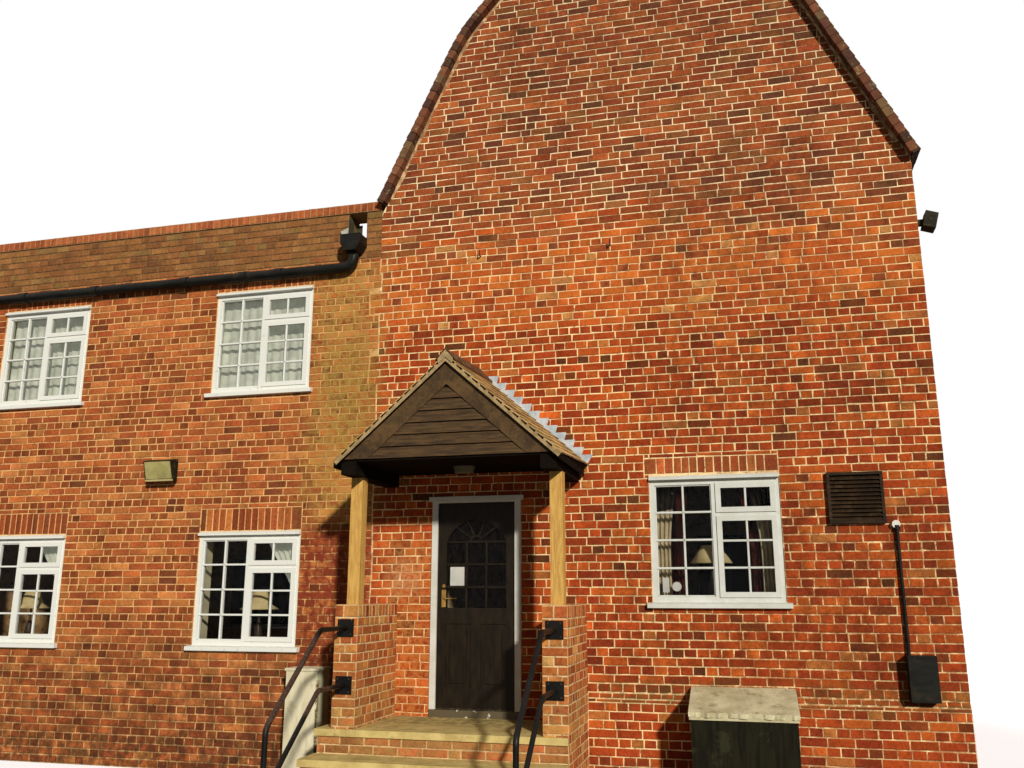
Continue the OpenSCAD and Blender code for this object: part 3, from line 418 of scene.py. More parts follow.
@dataclass(frozen=True)
class MortarFinish(Finish):
    """Mortar of a wall's outer face, with plaster where the wall faces its room.

    The room is a box: the mask is the product of one step for each of its sides.
    """

    low_shade: Shade = (226, 200, 158)
    high_shade: Shade = (208, 174, 132)
    turn_z: float = 5.5
    cap_z: float = 99.0
    cap_shade: Shade = (92, 66, 44)
    gaps: float = 0.6
    rooms: tuple[Room, ...] = ()
    reveals: tuple[Room, ...] = ()
    stains: tuple[Stain, ...] = ()

    def inside(self, graph: Graph, rooms: tuple[Room, ...]) -> Value:
        """Masks the faces that look into a room or into a window's reveal.

        Args:
            graph: The material's nodes.
            rooms: Boxes as left, right, near, far and top.

        Returns:
            The greatest of the boxes' masks.
        """
        across, deep, up = (graph.axis(k) for k in "XYZ")
        mask: Value | None = None
        for left, right, near, far, top in rooms:
            one = across.rise(left - 0.001, left) * across.rise(right + 0.001, right)
            one = one * deep.rise(near - 0.001, near) * deep.rise(far + 0.001, far)
            one = one * up.rise(top + 0.001, top)
            mask = one if mask is None else mask.most(one)
        assert mask is not None
        return mask

    def build(self, graph: Graph) -> bpy.types.Material:
        """Builds the finish, as in Finish.

        Args:
            graph: The new material's nodes, still empty.

        Returns:
            The material.
        """
        height = graph.axis("Z")
        fine, soft = graph.noise(120.0, 4.0, 0.7), graph.noise(7.0, 4.0, 0.6)
        turn = (height + (soft - 0.5) * 1.2).rise(self.turn_z - 0.6, self.turn_z + 0.6)
        base = graph.blend(turn, self.low_shade, self.high_shade)
        base = graph.blend(1.0, base, (fine - 0.5) * 0.6 + (soft - 0.5) * 0.8 + 0.98, "MULTIPLY")
        base = graph.blend(graph.noise(3.2, 5.0, 0.65).rise(0.5, 0.7) * 0.5, base, (134, 88, 54))
        base = graph.blend(graph.noise(16.0, 4.0, 0.7).rise(0.54, 0.64) * self.gaps, base, (84, 50, 34))
        base = graph.blend(height.rise(self.cap_z - 0.012, self.cap_z + 0.012) * 0.86, base, self.cap_shade)
        for stain in self.stains:
            base = stain.over(graph, base)
        if self.rooms:
            # the rooms' plaster is darker than the reveals' cream plaster: painted shade for the dim rooms
            plaster = graph.blend(soft, (104, 94, 78), (126, 114, 96))
            base = graph.blend(self.inside(graph, self.rooms), base, plaster)
            base = graph.blend(self.inside(graph, self.reveals), base, (232, 220, 178))
        return graph.surface(
            {
                "Base Color": base, "Roughness": 0.95, "Specular IOR Level": 0.05,
                "Normal": graph.bump(fine + soft, 0.0016)})


@dataclass(frozen=True)
class Weathered(Finish):
    """A finish of two shades, streaked or mottled, with worn spots and dirt.

    Shade = mix(dark, light, noise stretched along the grain), with spots and stains over it.
    """

    light: Shade = (200, 200, 200)
    dark: Shade = (170, 170, 170)
    scale: float = 6.0
    stretch: Triple = (1.0, 1.0, 1.0)
    fine: float = 90.0
    spots: Spots | None = None
    roughness: float = 0.7
    gloss_change: float = 0.15
    metallic: float = 0.0
    relief: float = 0.0012
    # emission strength: a painted glow, where a cloth shines though it is no lamp
    glow: float = 0.0
    specular: float = 0.2
    own_tone: bool = False
    stains: tuple[Stain, ...] = ()

    def build(self, graph: Graph) -> bpy.types.Material:
        """Builds the finish, as in Finish.

        Args:
            graph: The new material's nodes, still empty.

        Returns:
            The material.
        """
        at = graph.scaled(self.stretch)
        soft, fine = graph.noise(self.scale, 5.0, 0.62, at), graph.noise(self.fine, 3.0, 0.65, at)
        share = (soft * 0.75 + fine * 0.25).rise(0.36, 0.64)
        base = graph.blend(share, self.dark, self.light)
        if self.own_tone:
            light = (soft - 0.5) * 1.2 + (fine - 0.5) * 0.7 + 1.0
            base = graph.blend(1.0, graph.attribute("tone", "Color"), light, "MULTIPLY")
        for stain in (self.spots, *self.stains) if self.spots else self.stains:
            base = stain.over(graph, base)
        gloss = (self.roughness + (soft - 0.5) * self.gloss_change * 2).most(0.04).least(1.0)
        sockets = {
            "Base Color": base, "Roughness": gloss, "Metallic": self.metallic,
            "Specular IOR Level": self.specular, "Normal": graph.bump(soft * 0.4 + fine * 0.6, self.relief)}
        if self.glow:
            sockets |= {"Emission Color": base, "Emission Strength": self.glow}
        return graph.surface(sockets)


@dataclass(frozen=True)
class GlassFinish(Finish):
    """A pane that lets the room show through a near-black, part-opaque layer of painted shade, and still
    mirrors some sky.
    """

    shade: Shade = (12, 14, 15)
    # opacity of the pane's near-black layer of painted shade
    cover: float = 0.14

    def build(self, graph: Graph) -> bpy.types.Material:
        """Builds the finish, as in Finish.

        Args:
            graph: The new material's nodes, still empty.

        Returns:
            The material.
        """
        # painted shade: an uneven near-black layer darkens whatever shows through the glass
        painted_shade_film = graph.noise(5.0, 3.0, 0.6).rise(0.35, 0.75) * 0.08 + self.cover
        wave = graph.bump(graph.noise(3.0, 1.0, 0.5), 0.004)
        sockets = {
            "Base Color": linear(self.shade), "Roughness": 0.05, "Specular IOR Level": 0.2, "Alpha": painted_shade_film,
            "Normal": wave}
        return graph.surface(sockets)


@dataclass
class Shell:
    """Points, faces and attributes that are gathered before they become one mesh."""

    points: list[np.ndarray] = field(default_factory=list)
    faces: list[np.ndarray] = field(default_factory=list)
    marks: list[np.ndarray] = field(default_factory=list)
    smooth: list[np.ndarray] = field(default_factory=list)
    extras: dict[str, list[tuple[int, np.ndarray]]] = field(default_factory=dict)
    count: int = 0

    def add(
        self, points: np.ndarray, faces: np.ndarray, mark: int = 0, smooth: bool = False,
        **extras: np.ndarray
    ) -> None:
        """Gathers one surface.

        Args:
            points: Places, n by 3, in metres.
            faces: Point numbers, m by 3 or m by 4, counted within this surface.
            mark: Which of the piece's finishes it takes.
            smooth: Whether its faces shade as one curve.
            **extras: Attributes for each point.
        """
        self.points.append(points.reshape(-1, 3))
        self.faces.append(faces + self.count)
        self.marks.append(np.full(len(faces), mark))
        self.smooth.append(np.full(len(faces), smooth))
        for key, values in extras.items():
            self.extras.setdefault(key, []).append((self.count, values))
        self.count += len(self.points[-1])

    def piece(
        self, name: str, finishes: list[Finish], body: str = "building", slot: str | None = None
    ) -> bpy.types.Object:
        """Makes the mesh, lets it ride on a body and reports it.

        Args:
            name: The piece's name.
            finishes: The finishes that its faces' marks stand for.
            body: The body that it moves with.
            slot: Not used.

        Returns:
            The new object.
        """
        mesh = bpy.data.meshes.new(name)
        places = np.concatenate(self.points).astype(np.float32)
        sizes = np.concatenate([np.full(len(f), f.shape[1]) for f in self.faces])
        corners = np.concatenate([f.ravel() for f in self.faces]).astype(np.int32)
        mesh.vertices.add(len(places))
        mesh.vertices.foreach_set("co", places.ravel())
        mesh.loops.add(len(corners))
        mesh.loops.foreach_set("vertex_index", corners)
        mesh.polygons.add(len(sizes))
        mesh.polygons.foreach_set(
            "loop_start", np.concatenate([[0], np.cumsum(sizes)[:-1]]).astype(np.int32))
        mesh.polygons.foreach_set("material_index", np.concatenate(self.marks).astype(np.int32))
        mesh.polygons.foreach_set("use_smooth", np.concatenate(self.smooth).astype(bool))
        for key, parts in self.extras.items():
            values = np.zeros((len(places), parts[0][1].shape[1]), np.float32)
            for start, part in parts:
                values[start:start + len(part)] = part
            kind, channel = ("FLOAT_COLOR", "color") if values.shape[1] == 4 else ("FLOAT_VECTOR", "vector")
            mesh.attributes.new(key, kind, "POINT").data.foreach_set(channel, values.ravel())
        mesh.update(calc_edges=True)
        made = bpy.data.objects.new(name, mesh)
        bpy.context.scene.collection.objects.link(made)
        for finish in finishes:
            mesh.materials.append(finish.material())
        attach(made, body)
        LOG.info("%s: %d triangles, %d points", name, int((sizes - 2).sum()), len(places))
        return made


SIDES = np.array([(0, 1, 5, 4), (1, 2, 6, 5), (2, 3, 7, 6), (3, 0, 4, 7)])
BOX = np.concatenate([[(0, 3, 2, 1), (4, 5, 6, 7)], SIDES])
BLOCK = np.concatenate([SIDES, SIDES + 4, [(8, 9, 10, 11)]])


def repeated(pattern: np.ndarray, count: int, size: int) -> np.ndarray:
    """One shape's faces for each of many shapes: the pattern plus size times the shape's number."""
    return (pattern[None] + size * np.arange(count)[:, None, None]).reshape(-1, pattern.shape[1])


@dataclass(frozen=True)
class Face:
    """A flat face with its own directions: along it, up it, and out of it, which is their cross product."""

    origin: Triple
    along: Triple
    up: Triple = (0.0, 0.0, 1.0)

    def at(self, s: np.ndarray, t: np.ndarray, out: np.ndarray | float) -> np.ndarray:
        """Places points on the face.

        Args:
            s: Distances along it.
            t: Distances up it.
            out: Distances out of it.

        Returns:
            origin + s * along + t * up + out * (along x up).
        """
        along, up = np.array(self.along, float), np.array(self.up, float)
        s, t, out = (part[..., None] for part in np.broadcast_arrays(s, t, out))
        return np.array(self.origin) + s * along + t * up + out * np.cross(along, up)


FRONT = Face((0, 0, 0), (1, 0, 0))


def hexahedra(shell: Shell, points: np.ndarray, mark: int = 0, tone: np.ndarray | None = None) -> None:
    """Adds blocks of six sides.

    Args:
        shell: Where they are gathered.
        points: Corners, n by 8 by 3: a ring of four and the ring that faces it.
        mark: Which finish they take.
        tone: A colour for each block, n by 3.
    """
    extras = {} if tone is None else {
        "tone": np.repeat(np.column_stack([tone, np.ones(len(tone))]), 8, axis=0)}
    shell.add(points, repeated(BOX, len(points), 8), mark, **extras)


def boxes(shell: Shell, face: Face, low: np.ndarray, high: np.ndarray, mark: int = 0) -> None:
    """Adds plain boxes between two corners each.

    Args:
        shell: Where they are gathered.
        face: The face that they stand on.
        low: Lowest corners, n by 3, as s, t and out.
        high: Highest corners in the same way.
        mark: Which finish they take.
    """
    low, high = np.atleast_2d(np.asarray(low, float)), np.atleast_2d(np.asarray(high, float))
    pick_s, pick_t = np.array([0, 1, 1, 0] * 2), np.array([0, 0, 1, 1] * 2)
    pick_out = np.array([0] * 4 + [1] * 4)
    ends = np.stack([low, high], axis=1)
    hexahedra(shell, face.at(ends[:, pick_s, 0], ends[:, pick_t, 1], ends[:, pick_out, 2]), mark)


def blocks(
    shell: Shell, face: Face, corners: Corners, proud: np.ndarray, chamfer: float, mark: int = 0,
    sunk: float = 0.0015, **extras: np.ndarray
) -> None:
    """Adds blocks with bevelled edges on a face.

    Args:
        shell: Where they are gathered.
        face: The face that they stand on.
        corners: Outlines, n by 4 by 2, as s and t round each block.
        proud: How far each stands out.
        chamfer: Width of the bevel: the front ring is the outline moved that far towards the middle.
        mark: Which finish they take.
        sunk: How far their backs lie behind the face.
        **extras: Attributes for each block, beside its place and half sizes.
    """
    count = len(corners)
    middle = corners.mean(axis=1, keepdims=True)
    half = np.abs(corners - middle).mean(axis=1)
    inner = corners + np.sign(middle - corners) * np.minimum(chamfer, half * 0.4)[:, None, :]
    rings = np.stack([corners, corners, inner], axis=1)
    heights = np.stack([np.full(count, -sunk), proud - chamfer * 0.75, proud], axis=1)[:, :, None]
    points = face.at(rings[..., 0], rings[..., 1], heights)
    flat = (rings - middle[:, None]).reshape(-1, 2)
    wear = extras.pop("wear", np.full(count, 0.5))
    place = np.column_stack([flat, np.zeros(len(flat))])
    size = np.repeat(np.column_stack([half, wear]), 12, axis=0)
    spread = {key: np.repeat(value, 12, axis=0) for key, value in extras.items()}
    shell.add(points, repeated(BLOCK, count, 12), mark, place=place, half=size, **spread)


def outlines(left: np.ndarray, right: np.ndarray, low: np.ndarray, high: np.ndarray) -> Corners:
    """Rectangles as corner lists: bottom left, bottom right, top right, top left."""
    s = np.stack([left, right, right, left], axis=1)
    return np.stack([s, np.stack([low, low, high, high], axis=1)], axis=2)


def strip(
    shell: Shell, rows: np.ndarray, mark: int = 0, closed: bool = False, smooth: bool = True,
    **extras: np.ndarray
) -> None:
    """Adds the surface through rows of points.

    Args:
        shell: Where it is gathered.
        rows: Points, u by v by 3.
        mark: Which finish it takes.
        closed: Whether the last column joins the first.
        smooth: Whether its faces shade as one curve.
        **extras: Attributes for each point.
    """
    tall, wide = rows.shape[:2]
    ids = np.arange(tall * wide).reshape(tall, wide)
    turn = np.roll(ids, -1, axis=1) if closed else ids[:, 1:]
    base = ids if closed else ids[:, :-1]
    faces = np.stack([base[:-1], turn[:-1], turn[1:], base[1:]], axis=-1).reshape(-1, 4)
    shell.add(rows, faces, mark, smooth, **extras)


def round_bar(
    shell: Shell, start: tuple, end: tuple, radius: float, sides: int = 10, mark: int = 0
) -> None:
    """Adds a closed round bar: circles of the radius at both ends, each ended by a ring of no size.

    Args:
        shell: Where it is gathered.
        start: Middle of its first end.
        end: Middle of its last end.
        radius: Its radius.
        sides: Corners of its circles.
        mark: Which finish it takes.
    """
    first, last = np.array(start, float), np.array(end, float)
    way = (last - first) / np.linalg.norm(last - first)
    across = np.cross(way, (0, 0, 1) if abs(way[2]) < 0.9 else (1, 0, 0))
    across /= np.linalg.norm(across)
    other = np.cross(way, across)
    turn = np.linspace(0, 2 * math.pi, sides, endpoint=False)[:, None]
    ring = np.cos(turn) * across + np.sin(turn) * other
    rows = np.stack([first + ring * 0, first + ring * radius, last + ring * radius, last + ring * 0])
    strip(shell, rows, mark, closed=True, smooth=False)


@dataclass(frozen=True)
class Palette:
    """Fired colours and how often each comes."""

    shades: tuple[Shade, ...]
    shares: tuple[float, ...]
    spread: float = 0.13

    def pick(self, count: int, rng: np.random.Generator) -> np.ndarray:
        """Picks a colour for each brick, lighter or darker by a random share.

        Args:
            count: How many bricks.
            rng: Source of the random numbers.

        Returns:
            Linear colours, count by 3.
        """
        table = np.array([linear(s)[:3] for s in self.shades])
        chosen = table[rng.choice(len(table), count, p=np.array(self.shares) / sum(self.shares))]
        level = np.exp(rng.normal(0, self.spread, (count, 1)))
        return chosen * level * (1 + rng.normal(0, 0.03, (count, 3)))


@dataclass(frozen=True)
class Toning:
    """Palettes one over the other, each passing into the next around a height."""

    palettes: tuple[Palette, ...]
    heights: tuple[float, ...] = ()
    blur: float = 0.3

    def pick(self, height: np.ndarray, rng: np.random.Generator) -> np.ndarray:
        """Picks colours by height: the palette's number is how many limits lie below.

        Args:
            height: The bricks' heights.
            rng: Source of the random numbers.

        Returns:
            Linear colours with an alpha of 1.
        """
        level = np.zeros(len(height), int)
        moved = height + rng.normal(0, self.blur, len(height))
        for limit in self.heights:
            level += moved > limit
        options = np.stack([p.pick(len(height), rng) for p in self.palettes])
        chosen = options[level, np.arange(len(height))]
        return np.column_stack([chosen, np.ones(len(height))])


GABLE_LOW = Palette(
    (
        (168, 72, 30), (154, 62, 27), (184, 88, 36), (138, 54, 26), (118, 56, 28), (172, 102, 50),
        (98, 54, 30)),
    (0.32, 0.26, 0.2, 0.12, 0.05, 0.03, 0.02), 0.1)
GABLE_BRIGHT = Palette(
    ((180, 86, 36), (196, 104, 44), (166, 74, 34), (126, 60, 36), (190, 132, 74)),
    (0.38, 0.26, 0.24, 0.08, 0.04), 0.1)
GABLE_HIGH = Palette(
    ((150, 75, 39), (136, 66, 37), (166, 88, 45), (114, 62, 40), (142, 84, 46), (100, 60, 38)),
    (0.34, 0.24, 0.18, 0.12, 0.07, 0.05), 0.11)
WING = Palette(
    ((176, 98, 52), (162, 84, 45), (188, 116, 63), (144, 75, 41), (122, 66, 39)),
    (0.36, 0.26, 0.22, 0.11, 0.05), 0.08)
PARAPET = Palette(
    ((142, 95, 54), (132, 87, 50), (150, 103, 60), (120, 80, 48), (138, 104, 60)),
    (0.32, 0.26, 0.2, 0.12, 0.1), 0.07)
PORCH_BRICK = Palette(
    ((176, 104, 54), (164, 90, 46), (188, 124, 66), (148, 76, 42), (192, 144, 84)),
    (0.34, 0.26, 0.22, 0.12, 0.06), 0.1)
RISERS = Palette(
    ((170, 112, 66), (178, 98, 58), (156, 104, 60), (184, 92, 52)), (0.34, 0.26, 0.22, 0.18), 0.1)
COPING = Palette(
    ((168, 92, 54), (158, 84, 50), (146, 76, 46), (176, 104, 62)), (0.4, 0.25, 0.15, 0.2), 0.06)
SOLDIERS = Palette(
    ((158, 82, 44), (142, 70, 38), (172, 98, 52), (122, 64, 38)), (0.36, 0.28, 0.22, 0.14), 0.12)


class Bond(Enum):
    """How the bricks of a wall face follow one another."""

    ENGLISH = "a course of headers, then one of stretchers"
    GARDEN = "three courses of stretchers to one of headers"
    MIXED = "stretchers with a header here and there"
    ON_EDGE = "bricks side by side on edge or on end"
    HEADERS = "headers alone"

    def lengths(self, course: int, run: float, rng: np.random.Generator) -> np.ndarray:
        """Lengths of one course's bricks with their joints.

        Args:
            course: The course's number.
            run: The length that they have to reach.
            rng: Source of the random numbers.

        Returns:
            Lengths in metres, each up to 6 % off its brick's own.
        """
        header, stretcher, thin = 0.1125, 0.225, 0.0775
        count = int(run / thin) + 8
        if self is Bond.MIXED:
            base = np.where(rng.random(count) < 0.2, header, stretcher)
        elif self is Bond.ON_EDGE:
            base = np.full(count, thin)
        elif self is Bond.HEADERS or (self is Bond.ENGLISH and course % 2) or (
            self is Bond.GARDEN and course % 4 == 3
        ):
            base = np.full(count, header)
        else:
            base = np.where(rng.random(count) < (0.22 if self is Bond.GARDEN else 0.0), header, stretcher)
        return base * (1 + np.clip(rng.normal(0, 0.025, count), -0.06, 0.06))

    def shift(self, course: int, rng: np.random.Generator) -> float:
        """How far a course starts before its end.

        Args:
            course: The course's number.
            rng: Source of the random numbers.

        Returns:
            A quarter or half brick by turns, or a random share of 0.2 m.
        """
        if self is Bond.MIXED:
            return float(rng.random() * 0.2)
        return (0.0, 0.0565, 0.1125, 0.028)[course % 4] + float(rng.normal(0, 0.006))


def upright_sides(left: float, right: float) -> Outline:
    """The outline of a face with upright ends."""
    return lambda t: (np.full_like(t, left), np.full_like(t, right))


@dataclass
class Brickwork:
    """One face laid in courses round its holes, up to its outline."""

    face: Face
    low: float
    high: float
    outline: Outline
    toning: Toning
    bond: Bond = Bond.ENGLISH
    course: float = 0.0783
    holes: tuple[Hole, ...] = ()
    joint: float = 0.0088
    proud: float = 0.003
    wave: float = 0.004
    seed: int = 1
    thin: float = 0.02
    joint_room: float = 0.008
    reach: float = 12.0
    least: float = 0.045
    header_most: float = 0.125
    inset: float = 0.004
    bevel: float = 0.0028
    square: bool = False
    headers: float = 1.0
    rough: float = 0.0016

    def spaces(self, low: float, high: float) -> list[Hole]:
        """Finds what no hole takes of one course.

        Args:
            low: The course's foot.
            high: Its top.

        Returns:
            Rectangles as left, right, low and high.
        """
        left, right = (float(side[0]) for side in self.outline(np.array([(low + high) / 2])))
        free = [(left, right, low, high)]
        for a, b, bottom, top in self.holes:
            kept: list[Hole] = []
            for l, r, lo, hi in free:
                if b <= l or a >= r or top <= lo + self.joint_room or bottom >= hi - self.joint_room:
                    kept.append((l, r, lo, hi))
                    continue
                if a - l > self.thin:
                    kept.append((l, a, lo, hi))
                if r - b > self.thin:
                    kept.append((b, r, lo, hi))
                if bottom - lo > self.thin:
                    kept.append((max(a, l), min(b, r), lo, bottom))
                if hi - top > self.thin:
                    kept.append((max(a, l), min(b, r), top, hi))
            free = kept
        return free

    def courses(self, rng: np.random.Generator) -> np.ndarray:
        """Cuts each free space at the bond's own joints.

        Args:
            rng: Source of the random numbers.

        Returns:
            All bricks as rows of left, right, low and high.
        """
        found = []
        for number, low in enumerate(np.arange(self.low, self.high - 0.3 * self.course, self.course)):
            high = min(low + self.course, self.high)
            start = -self.reach - self.bond.shift(number, rng)
            marks = start + np.cumsum(self.bond.lengths(number, 2 * self.reach, rng))
            for left, right, lo, hi in self.spaces(low, high):
                inner = marks[(marks > left + self.least) & (marks < right - self.least)]
                ends = np.concatenate([[left], inner, [right]])
                found.append(np.stack(np.broadcast_arrays(ends[:-1], ends[1:], lo, hi), axis=1))
        return np.concatenate(found)

    def lay(self, shell: Shell, mark: int = 0) -> None:
        """Lays the bricks: joints taken off, corners roughened, courses waved and ends cut to the outline.

        Args:
            shell: Where they are gathered.
            mark: Which finish they take.
        """
        rng = np.random.default_rng(self.seed)
        rows = self.courses(rng)
        half = self.joint / 2
        corners = outlines(*(rows + np.array([half, -half, half, -half])).T)
        corners = corners + rng.normal(0, self.rough, corners.shape)
        s, t = corners[..., 0], corners[..., 1]
        left, right = self.outline(t.mean(axis=1, keepdims=True) + 0 * t if self.square else t)
        s = np.clip(s, left + self.inset, right - self.inset)
        wave = np.sin(
            1.31 * s + 2.3 * t + self.seed) + 0.6 * np.sin(3.7 * s - 1.9 * t) + 0.5 * np.sin(0.7 * s * t + 2)
        corners = np.stack([s, t + self.wave * 0.5 * wave], axis=-1)
        wide = (corners[:, 1:3, 0].max(axis=1) - corners[:, [0, 3], 0].min(axis=1)) > 0.016
        corners = corners[wide]
        count = len(corners)
        tone = self.toning.pick(corners[:, :, 1].mean(axis=1), rng)
        short = np.ptp(corners[:, :, 0], axis=1) < self.header_most
        tone[:, :3] *= np.where(short, self.headers, 1.0)[:, None]
        proud = np.clip(self.proud + rng.normal(0, 0.0009, count), 0.0012, 0.006)
        blocks(shell, self.face, corners, proud, self.bevel, mark, tone=tone, wear=rng.random(count))


@dataclass(frozen=True)
class RoofProfile:
    """The gable's outline: a steep slope, an eased break and a flatter slope up to the ridge."""

    half: float = 2.725
    eaves_z: float = 6.005
    break_z: float = 7.96
    lower: float = 65.0
    upper: float = 47.0
    radius: float = 1.9

    def line(self, depth: float, past: float = 0.0, steps: int = 14) -> np.ndarray:
        """Points of the right-hand slope from the eaves to the ridge, so far under the tiles.

        Args:
            depth: Distance under the tiles' surface, square to it.
            past: How far the eaves run past the wall face.
            steps: Points in the eased break.

        Returns:
            Points x, z. The break is an arc about the centre at radius - depth, and both slopes touch it.
        """
        lower, upper = math.radians(self.lower), math.radians(self.upper)
        middle, bend = (lower + upper) / 2, (lower - upper) / 2
        x = self.half - (self.break_z - self.eaves_z) / math.tan(lower)
        centre_x = x - math.sin(middle) * self.radius / math.cos(bend)
        centre_z = self.break_z - math.cos(middle) * self.radius / math.cos(bend)
        turn = np.linspace(lower, upper, steps)
        arc = np.column_stack(
            [
                centre_x + (self.radius - depth) * np.sin(turn),
                centre_z + (self.radius - depth) * np.cos(turn)])
        foot_x = self.half + past
        foot = (foot_x, arc[0, 1] - (foot_x - arc[0, 0]) * math.tan(lower))
        ridge = (0.0, arc[-1, 1] + arc[-1, 0] * math.tan(upper))
        return np.vstack([foot, arc, ridge])

    def walk(self, distance: np.ndarray, depth: np.ndarray | float, past: float = 0.0) -> np.ndarray:
        """Follows the slope.

        Args:
            distance: Distances up it from the eaves.
            depth: How far under its surface, along its normal.
            past: How far the eaves run past the wall face.

        Returns:
            Points x, z.
        """
        line = self.line(0.0, past, 40)
        steps = np.diff(line, axis=0)
        run = np.concatenate([[0], np.cumsum(np.hypot(*steps.T))])
        middles = (run[1:] + run[:-1]) / 2
        tilt = np.interp(distance, middles, np.arctan2(steps[:, 1], -steps[:, 0]))
        x, z = np.interp(distance, run, line[:, 0]), np.interp(distance, run, line[:, 1])
        return np.stack([x - np.sin(tilt) * depth, z - np.cos(tilt) * depth], axis=-1)

    def length(self, past: float) -> float:
        """Length of the slope from the eaves to the ridge."""
        return float(np.hypot(*np.diff(self.line(0.0, past, 40), axis=0).T).sum())

    def half_at(self, height: np.ndarray, depth: float) -> np.ndarray:
        """Half the gable's width at those heights, under the roof covering."""
        line = self.line(depth)
        return np.interp(height, line[:, 1], line[:, 0])


ROOF = RoofProfile()
COVERING = 0.065
CASEMENT_HALF = 0.5975
CASEMENT_SILL = 0.055
CASEMENT_HEAD = 1.169


@dataclass(frozen=True)
class WindowPlace:
    """Where a casement window stands: its middle, its foot and the way that it faces."""

    x: float
    y: float
    z: float
    turn: float = 0.0

    def hole(self, face: Face) -> Hole:
        """The opening that its frame, sill and head drip fill, in a wall face's own s and t."""
        s = float(np.dot(np.array([self.x, self.y, 0]) - np.array([*face.origin[:2], 0]), face.along))
        return s - CASEMENT_HALF, s + CASEMENT_HALF, self.z - CASEMENT_SILL, self.z + CASEMENT_HEAD

    def reveal(self, depth: float) -> Room:
        """The box of a front window's opening behind its frame, up to the room."""
        return self.x - 0.599, self.x + 0.599, 0.08, depth, 9.9

    def face(self, behind: float) -> Face:
        """The plane of the window, with s from its middle and t from its foot.

        Args:
            behind: Its distance behind the wall's face.

        Returns:
            The plane, which looks outwards.
        """
        a = math.radians(self.turn)
        along, back = (math.cos(a), math.sin(a), 0.0), (-math.sin(a), math.cos(a))
        return Face((self.x + back[0] * behind, self.y + back[1] * behind, self.z), along)


BAYS = (-4.117, -7.017)
LOW_SILL, HIGH_SILL, MAIN_SILL = 1.229, 3.931, 1.676
MAIN_WINDOW = WindowPlace(0.711, 0.0, MAIN_SILL)
LOW_WINDOWS = tuple(WindowPlace(x, 0.0, LOW_SILL) for x in BAYS)
HIGH_WINDOWS = tuple(WindowPlace(x, 0.0, HIGH_SILL) for x in BAYS)
FRONT_WINDOWS = (MAIN_WINDOW, *LOW_WINDOWS, *HIGH_WINDOWS)
REAR_WINDOWS = (
    *(WindowPlace(x, 5.6, z, 180.0) for x in BAYS for z in (LOW_SILL, HIGH_SILL)),
    *(WindowPlace(-8.41, 2.8, z, -90.0) for z in (LOW_SILL, HIGH_SILL)),
    WindowPlace(0.711, 8.2, MAIN_SILL, 180.0),
    *(WindowPlace(2.725, y, MAIN_SILL, 90.0) for y in (2.7, 5.6)),
)


def rear_holes(face: Face) -> tuple[Hole, ...]:
    """The openings of the rear windows that stand in a face, so at no distance out of it."""
    out = np.cross(face.along, face.up)
    return tuple(
        w.hole(face) for w in REAR_WINDOWS if abs(
            np.dot(np.array([w.x, w.y, 0]) - face.origin, out)) < 0.001)


def toothing(height: np.ndarray) -> np.ndarray:
    """How far the old gable's bricks reach past its corner line at a height, where the wing is toothed in.

    The long steps are those of the old wall; each course adds up to 9 mm of its own.
    """
    steps = np.searchsorted(np.array([3.94, 4.27, 4.71, 4.975, 5.16]), height)
    return -np.array(
        [0.01, -0.09, 0.0, -0.105, 0.03, 0.0])[steps] + 0.009 * np.sin(12.9898 * np.floor(height / 0.0783))


